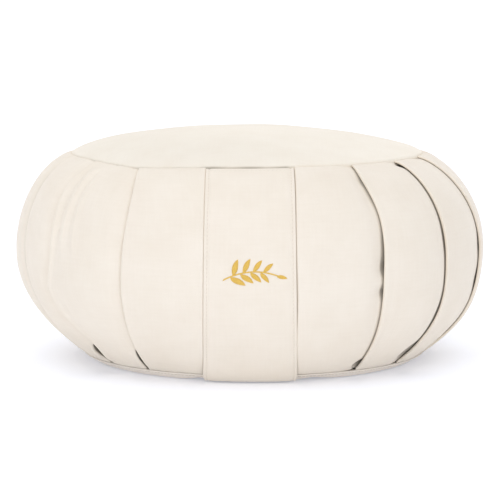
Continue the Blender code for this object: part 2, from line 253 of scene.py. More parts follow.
@dataclass(frozen=True)
class SideForm:
    """The side's smooth form under its pleats, and the crown above it.

    Attributes:
        top_from: Height share from which the side begins to follow the top seam.
        swells: Uneven places of the filling.
        drifts: Uneven places of the top seam.
    """

    height: float = 0.1718
    widest_radius: float = 0.172
    widest_height: float = 0.083
    top_radius: float = 0.1306
    top_height: float = 0.1518
    base_radius: float = 0.1286
    base_height: float = 0.006
    floor_radius: float = 0.1201
    base_shift: float = 0.003
    top_shift: float = -0.0025
    draw_in_power: float = 2.3
    roll_over_power: float = 1.3
    crown_across_power: float = 1.05
    crown_up_power: float = 1.31
    top_from: float = 0.55
    swells: tuple[Swell, ...] = (
        Swell(angle=78.0, v=0.2, rise_mm=1.2, half_degrees=24.0, half_share=0.14),
        Swell(angle=-62.0, v=0.66, rise_mm=0.5, half_degrees=17.0, half_share=0.2),
        Swell(angle=18.0, v=0.74, rise_mm=0.5, half_degrees=15.0, half_share=0.16),
        Swell(angle=128.0, v=0.45, rise_mm=1.0, half_degrees=30.0, half_share=0.25),
        Swell(angle=-150.0, v=0.6, rise_mm=-1.0, half_degrees=26.0, half_share=0.3),
    )
    drifts: tuple[SeamDrift, ...] = (
        SeamDrift(angle=-36.0, rise_mm=-2.2, half_degrees=17.0),
        SeamDrift(angle=-72.0, rise_mm=0.8, half_degrees=22.0),
        SeamDrift(angle=82.0, rise_mm=0.6, half_degrees=28.0),
        SeamDrift(angle=165.0, rise_mm=-1.0, half_degrees=30.0),
    )

    def profile(self, v: Array) -> tuple[Array, Array]:
        """Radius and height of the side at v.

        Below the widest height the radius falls off with a power of the depth. Above it the
        profile is near a quarter of an ellipse, so the cloth runs level into the top seam.

        Args:
            v: Height shares.

        Returns:
            Radius and height, in metres.
        """
        depth = np.clip(1.0 - 2.0 * v, 0.0, 1.0)
        turn = np.clip(2.0 * v - 1.0, 0.0, 1.0) * math.pi / 2.0
        low = self.base_radius + (self.widest_radius - self.base_radius) * (
            1.0 - depth ** self.draw_in_power)
        roll = np.clip(np.cos(turn), 0.0, 1.0) ** self.roll_over_power
        high = self.top_radius + (self.widest_radius - self.top_radius) * roll
        low_height = self.widest_height - (self.widest_height - self.base_height) * depth
        high_height = self.widest_height + (self.top_height - self.widest_height) * np.sin(turn)
        is_low = v < 0.5
        return np.where(is_low, low, high), np.where(is_low, low_height, high_height)

    def normal(self, v: Array) -> tuple[Array, Array]:
        """Outward unit normal of the profile at v, as its radial and upward parts.

        Args:
            v: Height shares.

        Returns:
            The two parts, each of v's shape.
        """
        step = 0.001
        low_radius, low_height = self.profile(np.clip(v - step, 0.0, 1.0))
        high_radius, high_height = self.profile(np.clip(v + step, 0.0, 1.0))
        across, up = high_radius - low_radius, high_height - low_height
        length = np.hypot(across, up)
        return up / length, -across / length

    def shift(self, v: Array) -> Array:
        """How far the side's centre has moved towards +X at v."""
        return self.base_shift * (1.0 - ease(2.0 * v)) + self.top_shift * self.near_top(v)

    def near_top(self, v: Array) -> Array:
        """From 0 at the height share top_from up to 1 at the top seam."""
        return ease((v - self.top_from) / (1.0 - self.top_from))

    def degrees_per_metre(self, v: Array) -> Array:
        """Turn round the side that one metre along it makes at v."""
        return np.degrees(1.0 / self.profile(v)[0])

    def seam_rise(self, angle: Array) -> Array:
        """How much higher than usual the top seam sits at an angle.

        Args:
            angle: Degrees.

        Returns:
            Metres.
        """
        total = np.zeros_like(angle)
        for drift in self.drifts:
            total = total + drift.rise_mm * MM * bell(turned(angle - drift.angle), drift.half_degrees)
        return total

    def unevenness(self, angle: Array, v: Array) -> Array:
        """Rise of the loose filling: its swells, and three slow waves that fade at the seams.

        Args:
            angle: Degrees.
            v: Height shares.

        Returns:
            Metres out from the profile.
        """
        total = np.zeros(np.broadcast_shapes(angle.shape, v.shape))
        for swell in self.swells:
            round_it = bell(turned(angle - swell.angle), swell.half_degrees)
            total = total + swell.rise_mm * MM * round_it * bell(v - swell.v, swell.half_share)
        turn = np.radians(angle)
        waves = np.sin(7.0 * turn + 5.0 * v + 0.6) + 0.7 * np.sin(11.0 * turn - 9.0 * v + 2.2)
        waves = waves + 0.5 * np.sin(19.0 * turn + 13.0 * v + 4.1)
        return total + 0.16 * MM * waves * bulge(v)

    def place(self, v: Array, angle: Array, rise: Array) -> Array:
        """Points of the side.

        A point lies at the profile's radius and height at v, moved out by its rise along the
        profile's normal, and turned by its angle about the side's centre at that height.

        Args:
            v: Height shares.
            angle: Degrees.
            rise: Metres.

        Returns:
            An array with a last axis of 3.
        """
        radius, height = self.profile(v)
        out, up = self.normal(v)
        rise = rise + self.unevenness(angle, v)
        turn = np.radians(angle)
        radius = radius + rise * out
        z = height + rise * up + self.seam_rise(angle) * self.near_top(v)
        return polar(radius, turn, z, self.shift(v))

    def lengths(self) -> tuple[Array, Array]:
        """Height shares from 0 to 1, and the length of cloth below each.

        Returns:
            The height shares, and the lengths in metres.
        """
        v = np.linspace(0.0, 1.0, 401)
        radius, height = self.profile(v)
        steps = np.hypot(np.diff(radius), np.diff(height))
        return v, np.concatenate([[0.0], np.cumsum(steps)])

    def length_at(self, v: Array) -> Array:
        """Length of cloth from the base seam up to v."""
        shares, lengths = self.lengths()
        return np.interp(v, shares, lengths)

    def share_at(self, length: Array) -> Array:
        """Height share at a length of cloth above the base seam."""
        shares, lengths = self.lengths()
        return np.interp(length, lengths, shares)

    def total_length(self) -> float:
        """Length of cloth from the base seam to the top seam."""
        return float(self.length_at(np.ones(1))[0])

    def rim_slope(self) -> float:
        """Steepness of the base's rim, in radians."""
        return math.atan2(self.base_height, self.base_radius - self.floor_radius)

    def crown_height(self, share: Array) -> Array:
        """Height of the crown at a share of its radius, before it is made uneven.

        Args:
            share: Shares of the top seam's radius.

        Returns:
            Metres above the floor.
        """
        turn = np.arcsin(np.clip(share, 0.0, 1.0) ** (1.0 / self.crown_across_power))
        rise = self.height - self.top_height
        return self.top_height + rise * np.clip(np.cos(turn), 0.0, 1.0) ** self.crown_up_power


# ------------------------------------------------------------------ finishes
def linear(hex_colour: str) -> Colour:
    """An sRGB hex colour as linear RGBA.

    Args:
        hex_colour: A # and six hex digits.

    Returns:
        Red, green, blue and an alpha of 1.
    """
    parts = np.array([int(hex_colour[place:place + 2], 16) / 255.0 for place in (1, 3, 5)])
    low, high = parts / 12.92, ((parts + 0.055) / 1.055) ** 2.4
    red, green, blue = np.where(parts <= 0.04045, low, high).tolist()
    return red, green, blue, 1.0


def add_node(tree: bpy.types.NodeTree, kind: str, inputs: dict | None = None,
             **settings: object) -> bpy.types.Node:
    """Add a node with its settings, values and links.

    Args:
        tree: The node tree.
        kind: The node's type name.
        inputs: Values or output sockets, by the input's name or number.
        **settings: The node's own properties.

    Returns:
        The node.
    """
    node = tree.nodes.new(kind)
    for name, value in settings.items():
        setattr(node, name, value)
    feed(tree, node, inputs or {})
    return node


def feed(tree: bpy.types.NodeTree, node: bpy.types.Node, inputs: dict) -> None:
    """Give a node's inputs their values and links.

    Args:
        tree: The node tree.
        node: The node.
        inputs: Values or output sockets, by the input's name or number.
    """
    for key, value in inputs.items():
        if isinstance(value, bpy.types.NodeSocket):
            tree.links.new(value, node.inputs[key])
        else:
            node.inputs[key].default_value = value


def new_material(name: str) -> tuple[bpy.types.Material, bpy.types.NodeTree, bpy.types.Node]:
    """A material, its node tree and its Principled shader.

    Args:
        name: The material's name.

    Returns:
        The three of them.
    """
    material = bpy.data.materials.new(name)
    material.use_nodes = True
    tree = material.node_tree
    return material, tree, tree.nodes["Principled BSDF"]


@dataclass(frozen=True)
class CottonCanvas:
    """Unbleached cotton duck, plain woven and washed.

    To the eye it is matt and chalky, with a soft nap that lightens it where it turns away, faint
    slubs along both threads, and a tone that drifts a little from hand's breadth to hand's breadth.
    The real threads are 0.45 mm apart, less than a pixel here, so they are drawn 0.9 mm apart.

    Attributes:
        name: The material's name.
        colour: The cloth's mean colour.
        shade: Its colour in the slubs and between the threads.
        inner: A dark grey-brown painted in as shade inside seams, slots and grooves, and towards the
            crown's front seam.
        thread_mm: Distance from thread to thread.
    """

    name: str
    colour: str = "#F3EADC"
    shade: str = "#E7DBC9"
    inner: str = "#8E8679"
    thread_mm: float = 0.9
    slub_mm: float = 26.0
    mottle_mm: float = 34.0
    bump_mm: float = 0.16

    def build(self) -> bpy.types.Material:
        """Make the material.

        Returns:
            The material.
        """
        material, tree, shader = new_material(self.name)
        cloth = add_node(tree, "ShaderNodeUVMap", uv_map="cloth").outputs[0]
        weave = self.weave(tree, cloth)
        fine_mm = 2.0 * self.thread_mm
        # Each pattern, how much it raises the cloth, and how much it lightens it.
        patterns = (
            (self.grain(tree, cloth, self.slub_mm, fine_mm), 0.9, 0.24),
            (self.grain(tree, cloth, fine_mm, self.slub_mm), 0.9, 0.24),
            (weave, 1.0, 0.16),
            (self.grain(tree, cloth, self.mottle_mm, self.mottle_mm), 0.0, 0.7),
        )
        height, tone = 0.0, 0.0
        for pattern, raises, lightens in patterns:
            height, tone = (
                add_node(tree, "ShaderNodeMath", {0: pattern, 1: weight, 2: total},
                         operation="MULTIPLY_ADD").outputs[0]
                for weight, total in ((raises, height), (lightens, tone)))
        share = add_node(tree, "ShaderNodeMapRange", {0: tone, 1: 0.2, 2: 1.05}).outputs[0]
        washed = add_node(tree, "ShaderNodeMix", {
            0: share, 6: linear(self.shade), 7: linear(self.colour)}, data_type="RGBA").outputs[2]
        # Painted shade: a vertex attribute darkens the cloth towards the inner colour in slots, grooves and
        # seams, and on the crown towards its front seam.
        painted_shade = add_node(tree, "ShaderNodeAttribute", attribute_name="painted_shade").outputs["Fac"]
        with_painted_shade = add_node(tree, "ShaderNodeMix", {
            0: painted_shade, 6: washed, 7: linear(self.inner)}, data_type="RGBA").outputs[2]
        rough = add_node(tree, "ShaderNodeMapRange", {0: weave, 3: 0.96, 4: 0.86}).outputs[0]
        bump = add_node(tree, "ShaderNodeBump", {
            "Height": height, "Strength": 0.32, "Distance": self.bump_mm * MM}).outputs[0]
        feed(tree, shader, {
            "Base Color": with_painted_shade, "Roughness": rough, "Normal": bump, "Specular IOR Level": 0.25,
            "Sheen Weight": 0.45, "Sheen Roughness": 0.4, "Sheen Tint": linear("#FFF6E8")})
        return material

    def grain(self, tree: bpy.types.NodeTree, cloth: bpy.types.NodeSocket,
              across_mm: float, up_mm: float) -> bpy.types.NodeSocket:
        """An uneven tone whose grain has real sizes along the weft and the warp.

        Args:
            tree: The node tree.
            cloth: The cloth's coordinates, in metres.
            across_mm: Size of the grain along the weft.
            up_mm: Its size along the warp.

        Returns:
            The tone, around 0.5.
        """
        scale = Vector((1.0 / (across_mm * MM), 1.0 / (up_mm * MM), 1.0))
        place = add_node(tree, "ShaderNodeMapping", {"Vector": cloth, "Scale": scale}).outputs[0]
        inputs = {"Vector": place, "Scale": 1.0, "Detail": 3.0, "Roughness": 0.55}
        return add_node(tree, "ShaderNodeTexNoise", inputs).outputs[0]

    def weave(self, tree: bpy.types.NodeTree, cloth: bpy.types.NodeSocket) -> bpy.types.NodeSocket:
        """Height of a plain weave: warp and weft threads take turns on top, each a sine's hump.

        Args:
            tree: The node tree.
            cloth: The cloth's coordinates, in metres.

        Returns:
            The height, from 0 to 1.
        """
        per_metre = 1.0 / (self.thread_mm * MM)
        scale = Vector((per_metre, per_metre, 1.0))
        threads = add_node(tree, "ShaderNodeMapping", {"Vector": cloth, "Scale": scale}).outputs[0]
        parts = add_node(tree, "ShaderNodeSeparateXYZ", {0: threads})
        ridges = []
        for axis in range(2):
            ridge = parts.outputs[axis]
            for operation in ("MULTIPLY", "SINE", "ABSOLUTE"):
                inputs = {0: ridge, 1: math.pi}
                ridge = add_node(tree, "ShaderNodeMath", inputs, operation=operation).outputs[0]
            ridges.append(ridge)
        turns = add_node(tree, "ShaderNodeTexChecker", {"Vector": threads, "Scale": 1.0})
        inputs = {0: turns.outputs["Fac"], 2: ridges[0], 3: ridges[1]}
        return add_node(tree, "ShaderNodeMix", inputs, data_type="FLOAT").outputs[0]


@dataclass(frozen=True)
class Thread:
    """Spun thread: polyester sewing thread or lustrous rayon for embroidery.

    To the eye sewing thread is matt and a shade off the cloth. Embroidery rayon has a silky gleam
    and shows each strand, light on its ridge and deeper at its sides: painted light and shade, its lit
    and shaded tones mixed at random by a fine noise.

    Attributes:
        name: The material's name.
        colour: Its lit tone, painted light.
        shade: Its shaded tone, painted shade.
        roughness: 0.8 for spun polyester, less for rayon.
        sheen: Weight of the soft gleam.
    """

    name: str
    colour: str
    shade: str
    roughness: float
    sheen: float
    grain_mm: float = 0.8
    bump_mm: float = 0.05

    def build(self) -> bpy.types.Material:
        """Make the material.

        Returns:
            The material.
        """
        material, tree, shader = new_material(self.name)
        place = add_node(tree, "ShaderNodeTexCoord").outputs["Object"]
        grain = add_node(tree, "ShaderNodeTexNoise", {
            "Vector": place, "Scale": 1.0 / (self.grain_mm * MM), "Detail": 2.0})
        # Painted light and shade: the thread's lit and shaded tones, mixed at random by the noise.
        mix = add_node(tree, "ShaderNodeMix", {
            0: grain.outputs[0], 6: linear(self.shade), 7: linear(self.colour)}, data_type="RGBA")
        bump = add_node(tree, "ShaderNodeBump", {
            "Height": grain.outputs[0], "Strength": 0.3, "Distance": self.bump_mm * MM})
        feed(tree, shader, {"Base Color": mix.outputs[2], "Normal": bump.outputs[0],
                            "Roughness": self.roughness, "Sheen Weight": self.sheen})
        return material


@dataclass(frozen=True)
class StudioFloor:
    """Opal acrylic over soft lamps: the plain pale floor of a photographer's table.

    To the eye it is white and even, and its faint glow keeps the shadow under the cushion light.
    """

    name: str = "opal_acrylic"
    colour: str = "#F6F7FA"
    lamp: str = "#E7EDFC"
    glow: float = 0.188

    def build(self) -> bpy.types.Material:
        """Make the material.

        Returns:
            The material.
        """
        material, tree, shader = new_material(self.name)
        feed(tree, shader, {
            "Base Color": linear(self.colour), "Roughness": 1.0, "Specular IOR Level": 0.0,
            "Emission Color": linear(self.lamp), "Emission Strength": self.glow})
        return material


# ------------------------------------------------------------------ the pleated side
@dataclass(frozen=True)
class Opening:
    """A stretch where a fold's slot stands further open: its middle, half height and width."""

    v: float
    half_share: float
    open_mm: float


@dataclass(frozen=True)
class Groove:
    """A gap between a pleat's end and the next fold, near the base, with a pocket below.

    Attributes:
        low: Height share of its lower end.
        high: Height share of its upper end.
        width_mm: How far it stands open.
        depth_mm: How deep it goes.
        undercut_mm: How far its pocket reaches back under the pleat.
        lip_mm: Height of the roll that the pleat's end makes beside it.
    """

    low: float
    high: float
    width_mm: float
    depth_mm: float
    undercut_mm: float = 1.5
    lip_mm: float = 0.4

    def open_share(self, v: Array) -> Array:
        """From 0 at both ends to 1 in its upper half: the sine of pi times a power of the share."""
        share = np.clip((v - self.low) / (self.high - self.low), 0.0, 1.0)
        return np.clip(np.sin(math.pi * share ** 1.7), 0.0, 1.0) ** 0.7

    def section(self) -> tuple[Array, Array]:
        """Its section as distances before the fold and rises: shoulder, lip, undercut and floor.

        Returns:
            The distances and the rises, in metres, each a row.
        """
        wide, deep = self.width_mm, self.depth_mm
        left = row(16.0, 12.5 + 0.1 * wide, 9.8 + 0.3 * wide, 7.4 + 0.6 * wide, 5.2 + 0.9 * wide,
                   3.2 + wide, 1.6 + wide, 0.6 + wide, wide, wide + 0.3,
                   wide + self.undercut_mm, 0.6 * wide, 0.0)
        rise = row(0.0, 0.0, 0.1, 0.4, 0.8, 1.0, 1.0, 0.5, 0.0, 0.0, 0.0, 0.0, 0.0) * self.lip_mm
        sunk = row(0.0, 0.0, 0.0, 0.0, 0.0, 0.0, 0.0, 0.05, 0.4, 0.9, 0.55 * deep, deep, deep)
        return left * MM, (rise - sunk) * MM


@dataclass(frozen=True)
class Fold:
    """A pleat's folded edge, from the base seam to the top seam.

    Attributes:
        angles: Its angle at even heights from seam to seam.
        slot_mm: How far its slot stands open.
        shut_mm: How far it still stands open at both seams.
        openings: Where it stands further open.
        groove: The gap before it near the base.
        bead_mm: Height of the soft roll along its edge.
        shoulder_mm: Over how wide a strip the cloth before it goes down.
        shoulder_share: The part of its way down that it goes there; the rest is a short plunge.
        proud_mm: How far its edge stands out from the side's form.
        puff_mm: How far the face after it stands out.
        columns: How many columns the middle of that face has.
        painted_slot_shade: How much painted shade lies on the cloth just before it, beside its slot.
        foot: Degrees by which its edge swings aside at the base.
    """

    angles: tuple[float, ...]
    slot_mm: float = 0.5
    openings: tuple[Opening, ...] = ()
    groove: Groove | None = None
    bead_mm: float = 0.5
    shoulder_mm: float = 14.0
    shoulder_share: float = 0.7
    proud_mm: float = 0.0
    puff_mm: float = 3.0
    columns: int = 14
    painted_slot_shade: float = 0.0
    foot: float = 0.0
    shut_mm: float = 0.3

    def slot(self, v: Array) -> Array:
        """How far its slot stands open, nearly shut at both seams.

        Args:
            v: Height shares.

        Returns:
            Metres.
        """
        total = self.slot_mm * np.ones_like(v)
        for opening in self.openings:
            total = total + opening.open_mm * bell(v - opening.v, opening.half_share)
        return (self.shut_mm + (total - self.shut_mm) * off_seams(v, 0.03)) * MM


@dataclass(frozen=True)
class Crease:
    """A soft trough or ridge in a pleat's face, from one height to another.

    Attributes:
        low: Angle and height share of its lower end.
        high: The same of its upper end.
        rise_mm: Its height, less than 0 for a trough.
        width_mm: Half its width.
        bow: Degrees by which its middle stands off the straight line.
    """

    low: tuple[float, float]
    high: tuple[float, float]
    rise_mm: float
    width_mm: float
    bow: float = 0.0

    def rise(self, angle: Array, v: Array, degrees_per_metre: Array) -> Array:
        """Its rise at points of the side: a bell across it that fades out at both ends.

        Args:
            angle: Degrees.
            v: Height shares.
            degrees_per_metre: Turn that one metre along the side makes at v.

        Returns:
            Metres.
        """
        share = (v - self.low[1]) / (self.high[1] - self.low[1])
        centre = self.low[0] + (self.high[0] - self.low[0]) * share + self.bow * bulge(share)
        away = turned(angle - centre) / degrees_per_metre
        fade = ease(share / 0.3) * ease((1.0 - share) / 0.3)
        return self.rise_mm * MM * fade * bell(away, self.width_mm * MM)


@dataclass
class ClothColumns:
    """Columns of the pleated cloth over a column of heights.

    Attributes:
        angle: Degrees, an array of heights and columns.
        rise: Metres.
        across: Place on the flat cloth, in metres along the weft.
        held: How firmly each point is held while the cloth swells, from 0 to 1.
        painted_shade: How much painted shade each point gets in a pleat's slot and groove, from 0 to 1.
    """

    angle: Array
    rise: Array
    across: Array
    held: Array
    painted_shade: Array

    @staticmethod
    def joined(parts: list["ClothColumns"]) -> "ClothColumns":
        """Several sets of columns side by side."""
        names = ("angle", "rise", "across", "held", "painted_shade")
        return ClothColumns(*(np.concatenate([getattr(part, name) for part in parts], axis=1)
                              for name in names))


class Settling(enum.Enum):
    """Whether the cloth simulation is run on the filled cloth."""

    MODELLED = "modelled"
    SIMULATED = "simulated"


@dataclass
class PleatedCover:
    """The filled cushion's side of knife pleats, closed under the crown and over the base.

    Each pleat is one run of cloth: along the underside of its flap, round the folded edge, over
    the face, and down under the next flap to the inner fold.

    Attributes:
        rows: Rows of points up the side.
        flap_mm: Thickness of a flap at the seams and half way up.
        tuck_mm: How far a tuck runs in under its flap, at the same two heights.
        panel_bed_mm: How deep the front panel lies in the cloth.
        swell_cap_mm: The most that the simulated swelling may move the cloth.
        swell_room: The share of that by which each face is lowered to leave room for it.
        swell_frames: Frames that the simulation runs for.
        gather_off_mm: Distance from a seam at which its gathers are highest.
        gather_reach_mm: Width of the band of gathers.
        foot_low: Height share up to which a fold's foot is fully aside.
        foot_reach: Height share over which it comes back.
        crowding: How much closer the rows lie at the seams.
        behind_panel_mm: Distance of the closed ends behind the round panels' outer faces.
        inside_crown_mm: Distance of the top's first inner ring from the seam.
        inside_base_mm: Distance of the base's outer ring in from the seam, and above it.
        top_rings: Radius shares of the rings that close the top.
        base_rings: The same for the base.
    """

    form: SideForm
    canvas: CottonCanvas
    settling: Settling
    rows: int = 116
    flap_mm: tuple[float, float] = (1.4, 2.1)
    bead_width_mm: float = 5.0
    proud_width_mm: float = 18.0
    tuck_mm: tuple[float, float] = (16.0, 20.0)
    front_puff_mm: float = 1.2
    panel_bed_mm: float = 1.7
    panel_lip_mm: float = 0.7
    left_margin_mm: float = -0.3
    right_margin_mm: tuple[float, ...] = (-0.4, -0.45, 0.4, -0.05, 0.15, 0.1)
    panel_half_widths_mm: tuple[float, float] = (33.0, 30.5)
    plunge_mm: float = 2.6
    swell_cap_mm: float = 0.9
    swell_room: float = 0.55
    swell_frames: int = 20
    seam_allowance_mm: float = 3.0
    gather_off_mm: float = 5.0
    gather_reach_mm: float = 7.0
    foot_low: float = 0.07
    foot_reach: float = 0.34
    crowding: float = 0.07
    behind_panel_mm: float = 2.9
    inside_crown_mm: float = 3.3
    inside_base_mm: tuple[float, float] = (1.8, 2.4)
    top_rings: tuple[float, ...] = (1.0, 0.93, 0.8, 0.6, 0.3)
    base_rings: tuple[float, ...] = (0.97, 0.7, 0.35)
    back_folds: int = 10
    back_unevenness: float = 1.2
    right_folds: tuple[Fold, ...] = (
        Fold((33.9, 33.2, 32.7, 32.7, 33.2, 32.7, 34.3), 0.5, (
            Opening(v=0.835, half_share=0.025, open_mm=0.5),
            Opening(v=0.575, half_share=0.050, open_mm=1.2),
            Opening(v=0.505, half_share=0.036, open_mm=2.6),
            Opening(v=0.39, half_share=0.028, open_mm=2.2),
        ), Groove(low=-0.005, high=0.052, width_mm=7.0, depth_mm=3.5), bead_mm=0.7, columns=18),
        Fold((53.0, 54.2, 54.3, 54.7, 53.8), 0.75, (
            Opening(v=0.945, half_share=0.030, open_mm=2.2),
            Opening(v=0.57, half_share=0.060, open_mm=0.6),
            Opening(v=0.25, half_share=0.080, open_mm=0.6),
            Opening(v=0.07, half_share=0.028, open_mm=2.4),
        ), Groove(low=0.0, high=0.105, width_mm=14.0, depth_mm=2.2, undercut_mm=0.0, lip_mm=0.1),
             puff_mm=1.2),
        Fold((75.0, 73.8, 74.0, 76.4, 78.2, 76.8, 74.0, 72.6, 73.0), 0.25, (
            Opening(v=0.45, half_share=0.160, open_mm=0.3),
            Opening(v=0.52, half_share=0.040, open_mm=0.5),
            Opening(v=0.36, half_share=0.050, open_mm=0.7),
        ), shoulder_mm=28.0, shoulder_share=1.0, proud_mm=1.7, puff_mm=2.2),
    )
    left_folds: tuple[Fold, ...] = (
        Fold((289.7, 289.6, 288.2, 287.2, 287.0), 0.9, bead_mm=0.1, shoulder_mm=9.0,
             proud_mm=-0.35, painted_slot_shade=0.2),
        Fold((301.8, 303.4, 301.8, 302.8, 305.2, 305.0, 304.2, 305.5, 306.1), 0.5, (),
             Groove(low=-0.04, high=0.11, width_mm=9.5, depth_mm=9.0, undercut_mm=3.5, lip_mm=0.9),
             bead_mm=2.2, columns=34, foot=7.0),
        Fold((324.7, 327.5, 328.8, 328.9, 325.0), 0.4, (),
             Groove(low=-0.05, high=0.105, width_mm=2.5, depth_mm=9.0, undercut_mm=2.5)),
    )
    creases: tuple[Crease, ...] = (
        Crease(low=(-51.5, 0.50), high=(-50.6, 0.98), rise_mm=-1.1, width_mm=2.2, bow=-1.6),
        Crease(low=(-49.2, 0.48), high=(-47.5, 0.97), rise_mm=1.1, width_mm=2.1, bow=-1.8),
        Crease(low=(-47.2, 0.50), high=(-45.6, 0.95), rise_mm=-0.9, width_mm=2.1, bow=-1.6),
        Crease(low=(-44.0, 0.46), high=(-43.3, 0.92), rise_mm=0.8, width_mm=2.3, bow=-2.6),
        Crease(low=(-53.0, 0.06), high=(-54.0, 0.42), rise_mm=-0.5, width_mm=3.0, bow=1.0),
        Crease(low=(31.5, 0.68), high=(31.0, 0.93), rise_mm=-1.0, width_mm=4.5, bow=0.5),
        Crease(low=(26.0, 0.66), high=(17.0, 0.95), rise_mm=0.4, width_mm=6.0, bow=1.0),
        Crease(low=(36.0, 0.05), high=(41.0, 0.45), rise_mm=-0.4, width_mm=6.0),
        Crease(low=(44.0, 0.55), high=(46.0, 0.95), rise_mm=-0.35, width_mm=6.0),
        Crease(low=(-24.0, 0.05), high=(-21.0, 0.4), rise_mm=-0.3, width_mm=7.0),
    )
    folds: list[Fold] = field(init=False)

    def __post_init__(self) -> None:
        """Put the folds in the order of their angles, those at the back between the others.

        The back folds are evenly spaced but for a wander that goes one way at the seams and the
        other way half way up, and their slots vary in turn.
        """
        start = np.mean(self.right_folds[-1].angles)
        end = np.mean(self.left_folds[0].angles)
        swing = np.array((1.0, -0.5, -1.0, -0.5, 1.0))
        back = []
        for index in range(1, self.back_folds + 1):
            share = index / (self.back_folds + 1)
            wander = self.back_unevenness * math.sin(5.0 * index)
            angles = start + (end - start) * share + wander * swing
            wide = Opening(0.5 + 0.2 * math.sin(2.3 * index), 0.09, 0.7 + 0.5 * math.sin(3.1 * index))
            back.append(Fold(tuple(angles.tolist()), 0.9 + 0.3 * math.sin(1.7 * index), (wide,)))
        self.folds = [*self.right_folds, *back, *self.left_folds]
        LOG.info("pleats: %d", len(self.folds))

    def fold(self, index: int) -> Fold:
        """A fold by its number; the numbers go on round past the last."""
        return self.folds[index % len(self.folds)]

    def fold_angle(self, index: int, v: Array) -> Array:
        """Angle of a fold's edge, past 360 on the next turn.

        Args:
            index: The fold's number.
            v: Height shares.

        Returns:
            Degrees.
        """
        fold = self.fold(index)
        aside = fold.foot * (1.0 - ease((v - self.foot_low) / self.foot_reach))
        return 360.0 * (index // len(self.folds)) + along(fold.angles, v) + aside

    def between(self, sizes_mm: tuple[float, float], v: Array) -> Array:
        """A size in metres that is the first at the seams and the second half way up."""
        at_seam, at_middle = sizes_mm
        return (at_middle + (at_seam - at_middle) * (2.0 * v - 1.0) ** 2) * MM

    def bead(self, index: int, v: Array) -> Array:
        """Height of the soft roll that a folded edge makes, a little uneven up its length."""
        uneven = 0.75 + 0.25 * np.sin(9.0 * v + 2.0 * index)
        return self.fold(index).bead_mm * MM * uneven * off_seams(v, 0.05)

    def panel_half_width(self, v: Array) -> Array:
        """Half the front panel's width, in metres."""
        low, high = self.panel_half_widths_mm
        return (low + (high - low) * v) * MM

    def panel_edges(self, v: Array) -> tuple[Array, Array]:
        """Angles of the front panel's left and right edges.

        Args:
            v: Height shares.

        Returns:
            Degrees of the left edge and of the right.
        """
        half_width = self.panel_half_width(v)
        per_metre = self.form.degrees_per_metre(v)
        centre = -self.form.shift(v) * per_metre
        return centre - half_width * per_metre, centre + half_width * per_metre

    def approach(self, left: Array, index: int, v: Array) -> Array:
        """Drop of a face at a distance left before the next fold.

        It goes down gently over the shoulder, and the rest in a short plunge under the flap.

        Args:
            left: Distances to the next fold, in metres.
            index: The next fold's number.
            v: Height shares.

        Returns:
            The rise to add, never above 0.
        """
        fold = self.fold(index)
        gentle = fold.shoulder_share * ease(1.0 - left / (fold.shoulder_mm * MM))
        steep = (1.0 - fold.shoulder_share) * ease(1.0 - left / (self.plunge_mm * MM))
        return -self.shelf(index, v) * (gentle + steep)

    def proud(self, index: int, v: Array) -> Array:
        """How far a folded edge stands out from the form, less towards both seams."""
        return self.fold(index).proud_mm * MM * off_seams(v, 0.3)

    def shelf(self, index: int, v: Array) -> Array:
        """Depth below the form at which the cloth goes under a fold."""
        return self.between(self.flap_mm, v) + self.fold(index).slot(v) - self.proud(index, v)

    def end_columns(self, index: int, v: Array) -> tuple[Array, Array, Array]:
        """The last columns of a face: distances before the next fold, and drops.

        Where that fold has a groove, they are blended from the plain approach into its section.

        Args:
            index: The next fold's number.
            v: Height shares.

        Returns:
            Distances to the fold, rises to add, and how far the groove is open there.
        """
        left = row(16.0, 12.5, 9.8, 7.6, 5.9, 4.7, 3.8, 3.0, 2.3, 1.7, 1.1, 0.6, 0.0) * MM
        left = np.broadcast_to(left, (len(v), left.shape[1]))
        rise = self.approach(left, index, v)
        groove = self.fold(index).groove
        if groove is None:
            return left, rise, np.zeros_like(v)
        share = groove.open_share(v)
        open_left, open_rise = groove.section()
        return left + (open_left - left) * share, rise + (open_rise - rise) * share, share

    def flap_columns(self, index: int, v: Array) -> ClothColumns:
        """The underside of a fold's flap, from the inner fold out, and its rounded edge.

        Args:
            index: The fold's number.
            v: Height shares.

        Returns:
            The columns, from the inner fold to the start of the face.
        """
        per_metre = self.form.degrees_per_metre(v)
        start = self.fold_angle(index, v)
        flap, tuck = self.between(self.flap_mm, v), self.between(self.tuck_mm, v)
        turn = np.radians(row(-90.0, -54.0, -18.0, 18.0, 54.0, 90.0))
        inner = tuck * row(1.0, 0.85, 0.55, 0.25)
        deep = row(1.2, 1.0, 1.0, 1.0) * flap
        edge = 0.5 * flap * (1.0 - np.cos(turn))
        offset = np.concatenate([inner, edge], axis=1)
        roll = 0.5 * flap * (np.sin(turn) - 1.0) + 0.5 * self.bead(index, v) * (1.0 + np.sin(turn))
        rise = np.concatenate([-deep, roll], axis=1) + self.proud(index, v)
        half_face = 0.5 * (self.fold_angle(index + 1, v) - start) / per_metre
        arc = 0.25 * flap * (turn - math.pi / 2.0)
        across = np.concatenate([0.25 * flap - inner, arc + 0.5 * flap], axis=1)
        across = across - half_face + self.cloth_start(index)
        # Painted shade on the flap's underside, inside the pleat, fading out before its edge.
        painted_shade = np.broadcast_to(row(1.0, 1.0, 1.0, 0.8, 0.2, 0.0, 0.0, 0.0, 0.0, 0.0), rise.shape)
        return ClothColumns(start + offset * per_metre, rise, across, np.ones_like(rise), painted_shade)

    def cloth_start(self, index: int) -> float:
        """Where a pleat's middle lies on the flat strip of cloth, in metres along the weft."""
        return 0.11 * index

